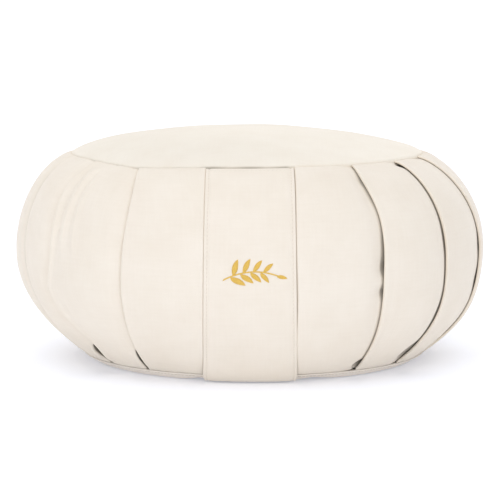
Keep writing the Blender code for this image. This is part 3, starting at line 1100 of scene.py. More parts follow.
    def tuck_columns(self, index: int, v: Array) -> ClothColumns:
        """The cloth under the next fold's flap, from its edge in to the inner fold.

        Args:
            index: The number of the pleat's own fold.
            v: Height shares.

        Returns:
            The columns, from the edge in.
        """
        per_metre = self.form.degrees_per_metre(v)
        end = self.fold_angle(index + 1, v)
        inner = self.between(self.tuck_mm, v) * row(0.25, 0.55, 0.85)
        drop = self.end_columns(index + 1, v)[1][:, -1:]
        rise = drop + (-self.shelf(index + 1, v) - drop) * row(0.1, 0.5, 1.0)
        half_face = 0.5 * (end - self.fold_angle(index, v)) / per_metre
        across = half_face + inner + self.cloth_start(index)
        # The cloth under the next flap is painted all in shade.
        ones = np.ones_like(rise)
        return ClothColumns(end + inner * per_metre, rise, across, ones, ones)

    def face_columns(self, index: int, v: Array) -> ClothColumns:
        """The face of a pleat: puffed up, with its shoulder and plunge before the next fold.

        Args:
            index: The number of the pleat's own fold.
            v: Height shares.

        Returns:
            The columns, from its own fold to the next.
        """
        per_metre = self.form.degrees_per_metre(v)
        start, end = self.fold_angle(index, v), self.fold_angle(index + 1, v)
        width = (end - start) / per_metre
        nose = 0.5 * self.between(self.flap_mm, v)
        is_front = index == len(self.folds) - 1
        near = nose + row(0.8, 1.8, 3.0, 4.6, 7.0) * MM
        left, drop, opened = self.end_columns(index + 1, v)
        far = width - left
        ends = left.shape[1]
        if is_front:
            left_edge, right_edge = self.panel_edges(v)
            bed_start = (360.0 + left_edge - start) / per_metre - self.left_margin_mm * MM
            bed_end = (360.0 + right_edge - start) / per_metre + along(self.right_margin_mm, v) * MM
            to_bed = row(9.0, 6.0, 3.6, 2.2, 1.3, 0.8, 0.5, 0.25, 0.0) * MM
            bed = bed_start + (bed_end - bed_start) * row(0.02, 0.25, 0.5, 0.75, 0.98)
            before = self.evenly(near[:, -1:], bed_start - to_bed[:, :1], 14)
            after = self.evenly(bed_end + to_bed[:, :1], far[:, :1], 16)
            place = [near, before, bed_start - to_bed, bed, bed_end + to_bed[:, ::-1], after, far]
            place = np.concatenate(place, axis=1)
            rise = self.front_rise(place, width, bed_start, bed_end, v)
        else:
            middle = self.evenly(near[:, -1:], far[:, :1], self.fold(index).columns)
            place = np.concatenate([near, middle, far], axis=1)
            share = np.clip(place / width, 0.0, 1.0)
            rise = self.puff(index) * bulge(v) * 4.0 * share * (1.0 - share)
        angle = start + place * per_metre
        rise[:, :-ends] += self.approach(width - place[:, :-ends], index + 1, v)
        rise[:, -ends:] += drop
        rise = rise + self.bead(index, v) * (1.0 - ease((place - nose) / (self.bead_width_mm * MM)))
        rise = rise + self.proud(index, v) * (1.0 - ease((place - nose) / (self.proud_width_mm * MM)))
        for crease in self.creases:
            rise = rise + crease.rise(angle, v, per_metre) * ease(place / (5.0 * MM))
        rise = rise + self.gathers(angle, v) * ease((width - place) / (8.0 * MM))
        held = 1.0 - ease((place - nose) / (12.0 * MM)) * ease((width - place - 9.0 * MM) / (12.0 * MM))
        if is_front:
            off_bed = np.maximum(bed_start - place, place - bed_end)
            held = np.maximum(held, 1.0 - ease(off_bed / (9.0 * MM)))
        # Painted shade at the face's end under the next fold: a little at its slot, most where its groove
        # stands open.
        painted_shade = np.zeros_like(rise)
        painted_shade[:, -4:] = opened * row(0.8, 1.0, 1.0, 1.0) + (1.0 - opened) * row(0.0, 0.0, 0.1, 0.45)
        # Painted shade on the cloth just before the next fold, fading out towards both seams.
        painted_slot_shade = self.fold(index + 1).painted_slot_shade * ease(np.minimum(v - 0.1, 0.9 - v) / 0.15)
        painted_shade[:, -8:-2] = np.maximum(painted_shade[:, -8:-2], painted_slot_shade * row(0.2, 0.5, 0.8, 1.0, 1.0, 1.0))
        across = place - 0.5 * width + self.cloth_start(index)
        return ClothColumns(angle, rise, across, held, painted_shade)

    def puff(self, index: int) -> float:
        """How far a face stands out, less the room left for the swelling where that is run."""
        given = 0.0 if self.settling is Settling.MODELLED else self.swell_room * self.swell_cap_mm
        return (self.fold(index).puff_mm - given) * MM

    def evenly(self, start: Array, end: Array, count: int) -> Array:
        """A number of columns evenly between two others, without those two."""
        return start + (end - start) * np.linspace(0.0, 1.0, count + 2)[None, 1:-1]

    def front_rise(self, place: Array, width: Array, bed_start: Array, bed_end: Array,
                   v: Array) -> Array:
        """Rise of the smooth front cloth: low puffs on both sides and the panel's bed between.

        Args:
            place: Distances after the fold, in metres.
            width: Distances from fold to fold.
            bed_start: Where the panel's bed starts.
            bed_end: Where it ends.
            v: Height shares.

        Returns:
            Metres.
        """
        share = np.where(place < bed_start, place / bed_start, (width - place) / (width - bed_end))
        puff = self.front_puff_mm * MM * bulge(v) * np.clip(share * (2.0 - share), 0.0, 1.0)
        away = np.maximum(bed_start - place, place - bed_end)
        in_bed = 1.0 - ease(away / (self.panel_lip_mm * MM))
        fade = 1.0 - 0.6 * (1.0 - ease(away / (12.0 * MM)))
        return puff * fade * (1.0 - in_bed) - self.panel_bed_mm * MM * in_bed

    def gathers(self, angle: Array, v: Array) -> Array:
        """Small puckers at both seams: ripples round the side that fade out away from the seam.

        Args:
            angle: Degrees.
            v: Height shares.

        Returns:
            Metres.
        """
        turn = np.radians(angle)
        length = self.form.length_at(v)
        top, base = (bell(away - self.gather_off_mm * MM, self.gather_reach_mm * MM)
                     for away in (self.form.total_length() - length, length))
        ripple = np.sin(97.0 * turn + 3.0 * np.sin(11.0 * turn)) * (0.6 + 0.4 * np.sin(23.0 * turn + 1.0))
        return 0.16 * MM * ripple * (top + base)

    def columns(self, v: Array) -> ClothColumns:
        """The whole side's cloth at a column of heights.

        Args:
            v: Height shares.

        Returns:
            The columns of all the pleats, side by side.
        """
        parts = []
        for index in range(len(self.folds)):
            parts.append(self.flap_columns(index, v))
            parts.append(self.face_columns(index, v))
            parts.append(self.tuck_columns(index, v))
        return ClothColumns.joined(parts)

    def end_rings(self, angle: Array, is_top: bool) -> Array:
        """Rings that close the body under a round panel, from the seam inwards.

        Their angles are the cloth's, made to grow all the way: half way between the greatest so
        far and the least still to come. Their heights follow the panel, a little behind it.

        Args:
            angle: The cloth's angles in the row at the seam.
            is_top: Whether this is the top.

        Returns:
            Points, an array of rings, columns and 3.
        """
        turns = np.concatenate([angle - 360.0, angle, angle + 360.0])
        greatest = np.maximum.accumulate(turns)
        least = np.minimum.accumulate(turns[::-1])[::-1]
        even = np.radians(0.5 * (greatest + least)[len(angle):2 * len(angle)])
        form = self.form
        if is_top:
            seam = (form.top_radius, form.top_height - self.seam_allowance_mm * MM)
            inside = form.top_radius - self.inside_crown_mm * MM
            shares = np.array(self.top_rings)
            heights = form.crown_height(shares) - self.behind_panel_mm * MM
            centre = form.top_shift
        else:
            inwards, upwards = self.inside_base_mm
            seam = (form.base_radius - inwards * MM, form.base_height + upwards * MM)
            inside = form.floor_radius
            shares = np.array(self.base_rings)
            heights = np.full(len(shares), self.behind_panel_mm * MM)
            centre = form.base_shift
        radii = np.concatenate([[seam[0]], inside * shares])[:, None]
        heights = np.concatenate([[seam[1]], heights])[:, None]
        drift = form.seam_rise(np.degrees(even))[None, :] * (1.0 if is_top else 0.0)
        return polar(radii, even, heights + drift * (radii / form.top_radius) ** 4, centre)

    def closed_surface(self, side: Array, columns: ClothColumns, v: Array) -> Surface:
        """The side's points, with the ends closed, as one surface.

        Args:
            side: Points of the side, an array of rows, columns and 3.
            columns: The cloth's columns at the same rows.
            v: The rows' height shares.

        Returns:
            The surface.
        """
        low = self.end_rings(columns.angle[0], is_top=False)[::-1]
        high = self.end_rings(columns.angle[-1], is_top=True)
        points = np.concatenate([low, side, high])
        up = self.form.length_at(v)
        cloth = np.stack(np.broadcast_arrays(columns.across, up), axis=-1)
        cloth = np.concatenate([low[..., :2], cloth, high[..., :2]])
        painted_shade = np.zeros(points.shape[:2])
        painted_shade[len(low):len(low) + len(side)] = columns.painted_shade
        low_pole = (self.form.base_shift, 0.0, float(low[0, 0, 2]))
        high_pole = (self.form.top_shift, 0.0, self.form.height - self.behind_panel_mm * MM)
        surface = Surface.from_grid(points, cloth, low_pole, high_pole)
        surface.painted_shade = np.concatenate([painted_shade.ravel(), np.zeros(2)])
        return surface

    def swelling(self, v: Array) -> Array:
        """How the cloth swells under the filling's pressure: as it stands, not at all.

        The simulation runs, but moves nothing. The copy's coincident points aren't merged, and
        with its edges of no length the solver makes no iteration. The cover's shape is therefore all
        modelled.

        A coarser copy of the closed body, with its folds, tucks, seams and ends pinned, is blown
        up for a number of frames. Its movement is capped, then read off at the finer heights.

        Args:
            v: The finer heights, a column.

        Returns:
            Movement of each point of the side, in metres.
        """
        coarse_v = np.linspace(0.0, 1.0, self.rows // 3)[:, None]
        columns = self.columns(coarse_v)
        side = self.form.place(coarse_v, columns.angle, columns.rise)
        surface = self.closed_surface(side, columns, coarse_v)
        piece = surface.to_object("swelling_cloth", self.canvas.build())
        near_seam = ease(1.0 - np.minimum(coarse_v, 1.0 - coarse_v) / 0.1)
        held = np.ones(len(surface.points))
        first = (1 + len(self.base_rings)) * side.shape[1]
        held[first:first + columns.held.size] = np.maximum(columns.held, near_seam).ravel()
        pins = piece.vertex_groups.new(name="pins")
        for level in np.unique(np.round(held, 1)):
            members = np.flatnonzero(np.round(held, 1) == level)
            pins.add(members.tolist(), float(level), "REPLACE")
        cloth = piece.modifiers.new("swell", "CLOTH")
        settings = cloth.settings
        settings.quality = 5
        settings.vertex_group_mass = "pins"
        settings.use_pressure = True
        settings.uniform_pressure_force = 4.0
        settings.effector_weights.gravity = 0.0
        settings.tension_stiffness = 25.0
        settings.compression_stiffness = 12.0
        settings.bending_stiffness = 0.6
        settings.pin_stiffness = 1.0
        scene = bpy.context.scene
        for step in range(1, self.swell_frames + 1):
            scene.frame_set(step)
        evaluated = piece.evaluated_get(bpy.context.evaluated_depsgraph_get())
        after = np.empty(len(surface.points) * 3)
        evaluated.data.vertices.foreach_get("co", after)
        moved = after.reshape(-1, 3) - surface.points
        moved = moved[first:first + columns.held.size].reshape(side.shape)
        scene.frame_set(1)
        mesh, material = piece.data, piece.data.materials[0]
        bpy.data.objects.remove(piece)
        bpy.data.meshes.remove(mesh)
        bpy.data.materials.remove(material)
        length = np.linalg.norm(moved, axis=-1, keepdims=True)
        LOG.info("swelling: mean %.2f mm, most %.2f mm", length.mean() / MM, length.max() / MM)
        cap = self.swell_cap_mm * MM
        moved = moved * (cap * np.tanh(length / cap) / np.maximum(length, 1e-9))
        return self.resampled(moved, v)

    def resampled(self, moved: Array, v: Array) -> Array:
        """Movements of evenly spaced rows read at other heights, by cubics between the rows.

        Args:
            moved: Movements of the evenly spaced rows.
            v: The other heights, a column.

        Returns:
            Movements at those heights.
        """
        count = len(moved) - 1
        place = np.clip(v[:, 0], 0.0, 1.0) * count
        index = np.minimum(place.astype(int), count - 1)
        t = (place - index)[:, None, None]
        return cubic([moved[np.clip(index + step, 0, count)] for step in (-1, 0, 1, 2)], t)

    def build(self) -> bpy.types.Object:
        """Make the piece that stands for the filled body.

        Returns:
            The piece.
        """
        shares = np.linspace(0.0, 1.0, self.rows)
        v = crowded(shares, self.crowding)[:, None]
        columns = self.columns(v)
        side = self.form.place(v, columns.angle, columns.rise)
        if self.settling is Settling.SIMULATED:
            side = side + self.swelling(v)
        surface = self.closed_surface(side, columns, v)
        piece = surface.to_object("pleated_cover", self.canvas.build(), weld=WELD)
        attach(piece, BODY)
        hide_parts("pleated_side")
        return piece


# ------------------------------------------------------------------ the round panels
@dataclass
class CrownPanel:
    """The round top of one piece of canvas, drawn tight over the filling.

    Its seam opens a little over the front panel and to its left, and rolls up to its right.
    """

    form: SideForm
    canvas: CottonCanvas
    tight_gap_mm: float = 0.05
    panel_gap_mm: float = 0.7
    left_gap_mm: float = 0.3
    roll_mm: float = 0.7
    painted_front_shade_depth: float = 0.14
    thickness_mm: float = 1.4
    tuck_mm: tuple[float, float] = (2.4, 1.2)
    allowance_mm: float = 6.0
    spokes: int = 240
    rings: int = 46
    tilt: float = 0.006

    def height(self, share: Array, angle: Array) -> Array:
        """Height of the crown: its dome, the seam's drift, a tilt, and the filling's low lumps.

        Args:
            share: Shares of the panel's radius.
            angle: Degrees.

        Returns:
            Metres above the floor.
        """
        turn = np.radians(angle)
        radius = share * self.form.top_radius
        x, y = radius * np.sin(turn), -radius * np.cos(turn)
        inner = 1.0 - share ** 6
        lumps = np.sin(52.0 * x + 31.0 * y) + 0.8 * np.sin(-47.0 * x + 66.0 * y + 1.7)
        lumps = lumps + 0.6 * np.sin(101.0 * x - 20.0 * y + 0.4)
        dome = self.form.crown_height(share) + self.form.seam_rise(angle) * share ** 5
        lift = inner * (0.22 * MM * lumps - self.tilt * x) + self.gathers(share, turn)
        return dome + lift + self.roll(share, angle)

    def roll(self, share: Array, angle: Array) -> Array:
        """The rolled edge to the right of the front panel: a bell just inside the seam."""
        round_it = over_arc(angle, 13.0, 95.0, (3.0, 30.0))
        return self.roll_mm * MM * round_it * bell(share - 0.992, 0.009)

    def gap(self, angle: Array) -> Array:
        """How far the panel's edge stands back from the seam.

        Args:
            angle: Degrees.

        Returns:
            Metres.
        """
        over_panel = over_arc(angle, -PANEL_HALF_DEGREES, PANEL_HALF_DEGREES, (2.0, 2.0))
        to_left = over_arc(angle, -62.0, -12.0, (16.0, 2.0))
        extra = (self.panel_gap_mm - self.tight_gap_mm) * over_panel
        extra = extra + (self.left_gap_mm - self.tight_gap_mm) * to_left
        return (self.tight_gap_mm + extra) * MM

    def painted_seam_shadow(self, angle: Array) -> Array:
        """Painted shadow in the seam's crevice: most over the panel and the cloth left of it.

        Args:
            angle: Degrees.

        Returns:
            How dark the edge is painted, from 0 to 1.
        """
        at = turned(angle)
        shown = over_arc(angle, -80.0, PANEL_HALF_DEGREES, (12.0, 2.0))
        patchy = 0.8 + 0.2 * np.sin(31.0 * np.radians(at) + 1.0)
        return shown * patchy * (0.3 + 0.35 * ease((at + 15.5) / 2.0))

    def painted_front_shade(self, share: Array, angle: Array) -> Array:
        """Painted shade on the crown: how much darker it is painted, most near the seam and a little left
        of its front.
        """
        front = 0.5 + 0.5 * np.cos(np.radians(angle + 25.0))
        return self.painted_front_shade_depth * ease((share - 0.15) / 0.8) * front * front

    def gathers(self, share: Array, turn: Array) -> Array:
        """Fine puckers that run in from the seam and fade out."""
        ripple = np.sin(83.0 * turn + 2.5 * np.sin(9.0 * turn)) * (0.6 + 0.4 * np.sin(17.0 * turn))
        return 0.14 * MM * ripple * bell(share - 0.965, 0.035)

    def build(self) -> bpy.types.Object:
        """Make the panel: rings from the turned-in edge up to the middle, thickened inwards.

        Returns:
            The piece.
        """
        angle = np.arange(self.spokes)[None, :] * 360.0 / self.spokes
        near_edge = np.array([1.0, 0.996, 0.991, 0.985, 0.978, 0.97])
        even = 0.96 * np.sin(np.linspace(1.0, 0.0, self.rings)[:-1] * math.pi / 2.0)
        share = np.concatenate([near_edge, even])[:, None]
        share = np.broadcast_to(share, (len(share), self.spokes))
        height = self.height(share, angle)
        edge = self.form.top_radius - self.gap(angle)
        radius = edge * share
        tuck = np.array(self.tuck_mm)[:, None] * MM
        radius = np.concatenate([edge, edge, radius])
        height = np.concatenate([height[:1] - tuck, height])
        middle = self.form.top_shift
        points = polar(radius, np.radians(angle), height, middle)
        pole = (middle, 0.0, float(self.height(np.zeros((1, 1)), np.zeros((1, 1)))[0, 0]))
        surface = Surface.from_grid(points, points[..., :2], high_pole=pole)
        # The crown's painted shade: darker towards its front seam, plus a painted shadow line in the seam's
        # crevice.
        tone = self.painted_front_shade(np.concatenate([share[:1], share[:1], share]), angle)
        # Painted shadow line along the seam, on the edge's first rings.
        seam = self.painted_seam_shadow(angle) * np.array([1.0, 1.0, 1.0, 0.35])[:, None]
        tone[:4] = np.maximum(tone[:4], seam)
        surface.painted_shade = np.append(tone.ravel(), 0.0)
        piece = surface.to_object("crown_panel", self.canvas.build())
        thicken(piece, self.thickness_mm)
        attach(piece, BODY)
        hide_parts("top_panel")
        return piece


def thicken(piece: bpy.types.Object, thickness_mm: float) -> None:
    """Give an open surface its thickness, on its inner side.

    Args:
        piece: The open surface.
        thickness_mm: Its thickness.
    """
    solidify = piece.modifiers.new("cloth", "SOLIDIFY")
    solidify.thickness = thickness_mm * MM
    solidify.offset = -1.0
    solidify.use_even_offset = True


@dataclass
class BasePanel:
    """The round base. Its rim turns up to the base seam, under a narrow stitched welt."""

    form: SideForm
    canvas: CottonCanvas
    edge_gap_mm: float = 0.5
    seam_drop_mm: float = 0.3
    allowance_mm: float = 4.0
    thickness_mm: float = 1.8
    corner_mm: float = 10.0
    welt_mm: float = 0.7
    welt_width_mm: float = 1.1
    lift_mm: float = 1.5
    spokes: int = 240

    def lift(self, angle: Array, height: Array) -> Array:
        """How far the rim's foot stands off the floor, on both sides of the front panel.

        Args:
            angle: Degrees, a row.
            height: Heights of the rings that take part, a column.

        Returns:
            Metres, fading out up the rim.
        """
        beside = bell(turned(angle + 18.5), 3.5) + bell(turned(angle - 20.0), 5.5)
        return self.lift_mm * MM * beside * ease(1.0 - height / self.form.base_height)

    def outline(self) -> tuple[Array, Array]:
        """Radius and height from the middle out and up to the seam.

        It is flat, then turns up on an arc and runs straight up the rim, and the welt is a bell
        on the rim just below the seam.

        Returns:
            Radii and heights, in metres.
        """
        form = self.form
        slope = form.rim_slope()
        corner = self.corner_mm * MM
        bend = np.linspace(0.0, slope, 7)
        start = form.floor_radius - corner * math.tan(slope / 2.0)
        radius = start + corner * np.sin(bend)
        height = corner * (1.0 - np.cos(bend))
        top = form.base_radius - self.edge_gap_mm * MM
        top_height = form.base_height - self.seam_drop_mm * MM
        steps = np.linspace(0.0, 1.0, 16)[1:]
        rim_radius = radius[-1] + (top - radius[-1]) * steps
        rim_height = height[-1] + (top_height - height[-1]) * steps
        flat = np.array([0.1, 0.3, 0.5, 0.7, 0.85, 0.95]) * start
        radius = np.concatenate([flat, radius, rim_radius])
        height = np.concatenate([np.zeros(6), height, rim_height])
        to_seam = np.hypot(top - radius, top_height - height)
        bead = self.welt_mm * MM * bell(to_seam - 1.0 * MM, self.welt_width_mm * MM)
        return radius + bead * math.sin(slope), np.maximum(height - bead * math.cos(slope), 0.0)

    def build(self) -> bpy.types.Object:
        """Make the panel: rings from the middle out, thickened inwards.

        Returns:
            The piece.
        """
        angle = np.arange(self.spokes) * 2.0 * math.pi / self.spokes
        radius, height = (part[:, None] for part in self.outline())
        near_rim = ease((radius - 0.8 * self.form.floor_radius) / (0.15 * self.form.floor_radius))
        z = height + self.lift(np.degrees(angle), height) * near_rim
        points = polar(radius, angle, z, self.form.base_shift)
        pole = (self.form.base_shift, 0.0, 0.0)
        surface = Surface.from_grid(points, points[..., :2], low_pole=pole)
        piece = surface.to_object("base_round", self.canvas.build())
        thicken(piece, self.thickness_mm)
        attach(piece, BODY)
        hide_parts("base_panel")
        return piece


# ------------------------------------------------------------------ the front panel
@dataclass
class FrontPanel:
    """The plain strip of doubled canvas from the top seam to the floor."""

    form: SideForm
    cover: PleatedCover
    canvas: CottonCanvas
    rise_mm: float = 0.35
    thickness_mm: float = 1.7
    edge_mm: float = 0.6
    stitch_inset_mm: float = 2.4
    stitch_groove_mm: float = 0.65
    groove_width_mm: float = 0.75
    top_stitch_mm: float = 6.0
    hem_lift_mm: float = 2.5
    hem_start: float = 0.12
    hem_height_mm: float = 0.6
    hem_round_mm: float = 1.2
    seam_dip_mm: float = 1.3
    seam_dip_reach_mm: float = 3.5
    seam_thin_mm: float = 4.0
    crowding: float = 0.06
    rows: int = 150
    outer_columns: int = 81

    def lift(self, v: Array) -> Array:
        """How far the panel stands off the side to pass over the base's rim."""
        return self.hem_lift_mm * MM * ease(1.0 - v / self.hem_start)

    def at(self, across: Array, length: Array, rise: Array) -> Array:
        """Points on the panel's course.

        Above the base seam the course follows the side. Below it the course goes straight down
        and in along the base's rim.

        Args:
            across: From -1 at the left edge to 1 at the right edge.
            length: Metres of cloth above the base seam, less than 0 on the rim.
            rise: Metres out from the side, besides the panel's own lift.

        Returns:
            An array with a last axis of 3.
        """
        form = self.form
        v = form.share_at(np.maximum(length, 0.0))
        left, right = self.cover.panel_edges(v)
        angle = 0.5 * (left + right) + 0.5 * (right - left) * across
        points = form.place(v, angle, rise + self.lift(v))
        run, fall = form.base_radius - form.floor_radius, form.base_height
        below = np.maximum(-length, 0.0)
        drop = below * fall / math.hypot(run, fall)
        spoke = points[..., :2] - np.array([form.base_shift, 0.0])
        radius = np.linalg.norm(spoke, axis=-1)
        pulled = (radius - drop * run / fall) / radius
        on_rim = spoke * pulled[..., None] + np.array([form.base_shift, 0.0])
        points[..., :2] = np.where((below > 0.0)[..., None], on_rim, points[..., :2])
        points[..., 2] = points[..., 2] - drop
        return points

    def on_face(self, across: Array, length: Array, level_mm: float) -> tuple[Array, Array]:
        """Points this many millimetres off the panel's course, and the panel's normals there.

        Args:
            across: From -1 at the left edge to 1 at the right edge.
            length: Metres of cloth above the base seam.
            level_mm: Distance out from the side, besides the panel's own lift.

        Returns:
            The points and the unit normals.
        """
        points, raised = (self.at(across, length, np.full(len(length), level * MM))
                          for level in (level_mm, level_mm + 1.0))
        normals = raised - points
        return points, normals / np.linalg.norm(normals, axis=1, keepdims=True)

    def hem_length(self) -> float:
        """Length of the panel below the base seam."""
        low = self.at(np.zeros(1), np.zeros(1), np.full(1, self.rise_mm * MM))[0, 2]
        return (low - self.hem_height_mm * MM) / math.sin(self.form.rim_slope())

    def build(self) -> bpy.types.Object:
        """Make the panel as a closed band: outer face, rounded edges and inner face.

        Its section is a flat loop: half a turn round each edge joins the two faces. It thins to
        nothing at the hem, as turned cloth does, and dips into the seam at the top.

        Returns:
            The piece.
        """
        form = self.form
        total = form.total_length()
        hem = self.hem_length()
        share = np.linspace(0.0, 1.0, self.rows)[:, None]
        length = -hem + (hem + total) * crowded(share, self.crowding)
        v = form.share_at(np.maximum(length, 0.0))
        half_width = self.cover.panel_half_width(v)
        radius = self.edge_mm * MM
        flat = half_width - radius
        outer = np.linspace(-1.0, 1.0, self.outer_columns)[None, :]
        turn = np.radians(row(60.0, 30.0, 0.0, -30.0, -60.0))
        inner = np.linspace(1.0, -1.0, 9)[None, :]
        across = np.concatenate([
            flat * outer, flat + radius * np.cos(turn), flat * inner,
            -flat - radius * np.cos(turn[:, ::-1])], axis=1)
        depth = np.concatenate([
            np.ones_like(outer), np.sin(turn), -np.ones_like(inner),
            np.sin(turn[:, ::-1])], axis=1)
        half = 0.5 * self.thickness_mm * MM
        to_hem = np.clip((length + hem) / (self.hem_round_mm * MM), 0.0, 1.0)
        thick = half * np.sqrt(1.0 - (1.0 - to_hem) ** 2)
        to_seam = total - length
        thick = thick * (0.45 + 0.55 * ease(to_seam / (self.seam_thin_mm * MM)))
        rise = self.rise_mm * MM - half + thick * depth
        rise = rise - self.seam_dip_mm * MM * (1.0 - ease(to_seam / (self.seam_dip_reach_mm * MM)))
        from_edge = half_width - np.abs(across)
        groove = bell(from_edge - self.stitch_inset_mm * MM, self.groove_width_mm * MM)
        inside = ease((from_edge - self.stitch_inset_mm * MM) / (0.5 * MM))
        across_top = bell(to_seam - self.top_stitch_mm * MM, self.groove_width_mm * MM) * inside
        groove = np.maximum(groove, across_top)
        rise = rise - self.stitch_groove_mm * MM * groove * (depth > 0.9)
        points = self.at(across / half_width, length, rise)
        cloth = np.stack(np.broadcast_arrays(across, length), axis=-1)
        surface = Surface.from_grid(points, cloth)
        surface.faces.extend(self.end_faces(points.shape[0], points.shape[1]))
        piece = surface.to_object("front_strip", self.canvas.build(), weld=WELD)
        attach(piece, BODY)
        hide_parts("front_panel")
        return piece

    def end_faces(self, rows: int, columns: int) -> list[list[int]]:
        """One face over each end of the band.

        Args:
            rows: Rows of the band.
            columns: Points in each row.

        Returns:
            Vertex numbers of the two faces.
        """
        low = list(range(columns))[::-1]
        high = [(rows - 1) * columns + column for column in range(columns)]
        return [low, high]


# ------------------------------------------------------------------ stitches
@dataclass(frozen=True)
class Strands:
    """Short strands of thread, each a bent tube with closed ends.

    Attributes:
        radius_mm: The thread's radius.
        sections: Rings along a strand.
        sides: Points round it.
    """

    radius_mm: float = 0.22
    sections: int = 5
    sides: int = 6

    def surface(self, starts: Array, ends: Array, normals: Array, arch: Array) -> Surface:
        """Tubes from starts to ends.

        A strand's middle line is the straight line plus arch times 1 - s squared along the normal,
        with s from -1 to 1. Its radius is full in the middle and shrinks as the fourth root of
        1 - s to the fourth, so the ends go down into the cloth.

        Args:
            starts: Points where the strands leave the cloth.
            ends: Points where they go back in.
            normals: The cloth's normals.
            arch: Height of each strand's middle.

        Returns:
            All the strands as one surface.
        """
        s = np.linspace(-1.0, 1.0, self.sections)[None, :, None]
        centre, half = 0.5 * (starts + ends)[:, None], 0.5 * (ends - starts)[:, None]
        line = centre + half * s + normals[:, None] * arch[:, None, None] * (1.0 - s * s)
        along_it = half / np.linalg.norm(half, axis=-1, keepdims=True)
        side = np.cross(along_it, np.broadcast_to(normals[:, None], along_it.shape))
        turn = 2.0 * math.pi * np.arange(self.sides) / self.sides
        ring = (np.cos(turn)[:, None] * side[:, :, None] + np.sin(turn)[:, None] * normals[:, None, None])
        size = np.clip(1.0 - np.abs(s) ** 4, 0.02, 1.0) ** 0.25
        points = line[:, :, None] + ring * (self.radius_mm * MM * size[..., None])
        count = len(starts)
        number = np.arange(count * self.sections * self.sides)
        number = number.reshape(count, self.sections, self.sides)
        after = np.roll(number, -1, axis=2)
        quads = np.stack([number[:, :-1], number[:, 1:], after[:, 1:], after[:, :-1]], axis=-1)
        faces = quads.reshape(-1, 4).tolist()
        faces.extend(number[:, 0].tolist())
        faces.extend(number[:, -1, ::-1].tolist())
        flat = points.reshape(-1, 3)
        return Surface(flat, faces, flat[:, :2])


@dataclass
class Topstitching:
    """The machine stitches along the front panel's edges and round the base's welt."""

    form: SideForm
    panel: FrontPanel
    base: BasePanel
    thread: Thread
    stitch_mm: float = 2.8
    gap_mm: float = 0.5
    arch_mm: float = 0.12
    hem_gap_mm: float = 2.0
    seam_gap_mm: float = 3.0
    welt_drop_mm: float = 2.9
    welt_arch_mm: float = 0.16
    strands: Strands = Strands()

    def panel_lines(self) -> bpy.types.Object:
        """The two lines of the front panel, a little inside its edges.

        Returns:
            The piece.
        """
        panel = self.panel
        total = self.form.total_length()
        first, last = self.hem_gap_mm * MM - panel.hem_length(), total - self.seam_gap_mm * MM
        count = int((last - first) / (self.stitch_mm * MM))
        begin = first + np.arange(count) * self.stitch_mm * MM
        ends = []
        for shift in (0.0, (self.stitch_mm - self.gap_mm) * MM):
            length = np.tile(begin + shift, 2)
            v = self.form.share_at(np.maximum(length, 0.0))
            across = 1.0 - panel.stitch_inset_mm * MM / panel.cover.panel_half_width(v)
            across = across * np.repeat([-1.0, 1.0], count)
            ends.append(self.on_panel(across, length))
        starts, normals = ends[0]
        arch = np.full(len(starts), self.arch_mm * MM)
        surface = self.strands.surface(starts, ends[1][0], normals, arch)
        return self.finish("panel_topstitch", surface)

    def seam_line(self) -> bpy.types.Object:
        """The line across the front panel's top, just below the top seam.

        Returns:
            The piece.
        """
        panel = self.panel
        total = self.form.total_length()
        length = total - panel.top_stitch_mm * MM
        half_width = panel.cover.panel_half_widths_mm[1]
        reach = half_width - panel.stitch_inset_mm
        count = int(2.0 * reach / self.stitch_mm)
        middle = (np.arange(count) - 0.5 * (count - 1)) * self.stitch_mm
        half = 0.5 * (self.stitch_mm - self.gap_mm)
        flat = np.full(count, length)
        starts, normals = self.on_panel((middle - half) / half_width, flat)
        stops, _ = self.on_panel((middle + half) / half_width, flat)
        surface = self.strands.surface(starts, stops, normals, np.full(count, self.arch_mm * MM))
        return self.finish("seam_topstitch", surface)

    def on_panel(self, across: Array, length: Array) -> tuple[Array, Array]:
        """Points in the panel's stitch groove, and the panel's normals there."""
        return self.panel.on_face(across, length, self.panel.rise_mm - self.panel.stitch_groove_mm)

    def welt_line(self) -> bpy.types.Object:
        """The line round the base, in the groove under the welt, but not under the panel.

        Returns:
            The piece.
        """
        form = self.form
        slope = form.rim_slope()
        drop = self.welt_drop_mm * MM
        radius = form.base_radius - self.base.edge_gap_mm * MM - drop * math.cos(slope)
        height = form.base_height - self.base.seam_drop_mm * MM - drop * math.sin(slope)
        count = int(2.0 * math.pi * radius / (self.stitch_mm * MM))
        turn = 2.0 * math.pi * (np.arange(count) + 0.5) / count
        behind = np.abs(np.degrees(np.angle(np.exp(1j * turn)))) < PANEL_HALF_DEGREES
        turn = turn[~behind]
        reach = 0.5 * (self.stitch_mm - self.gap_mm) * MM / radius
        ends = [polar(radius, turn + side * reach, height, form.base_shift) for side in (-1.0, 1.0)]
        out = polar(1.0, turn, 0.0, 0.0)
        normals = out * math.sin(slope) - np.array([0.0, 0.0, math.cos(slope)])
        arch = np.full(len(turn), self.welt_arch_mm * MM)
        return self.finish("welt_stitch", self.strands.surface(ends[0], ends[1], normals, arch))

    def finish(self, name: str, surface: Surface) -> bpy.types.Object:
        """Make one joined piece of stitches.

        Args:
            name: The piece's name.
            surface: The stitches.

        Returns:
            The piece.
        """
        piece = surface.to_object(name, self.thread.build())
        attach(piece, BODY)
        return piece


# ------------------------------------------------------------------ embroidery
@dataclass(frozen=True)
class Leaf:
    """One leaf of the sprig: its foot, direction, length and width, in millimetres and degrees."""

    x: float
    y: float
    heading: float
    length: float
    width: float


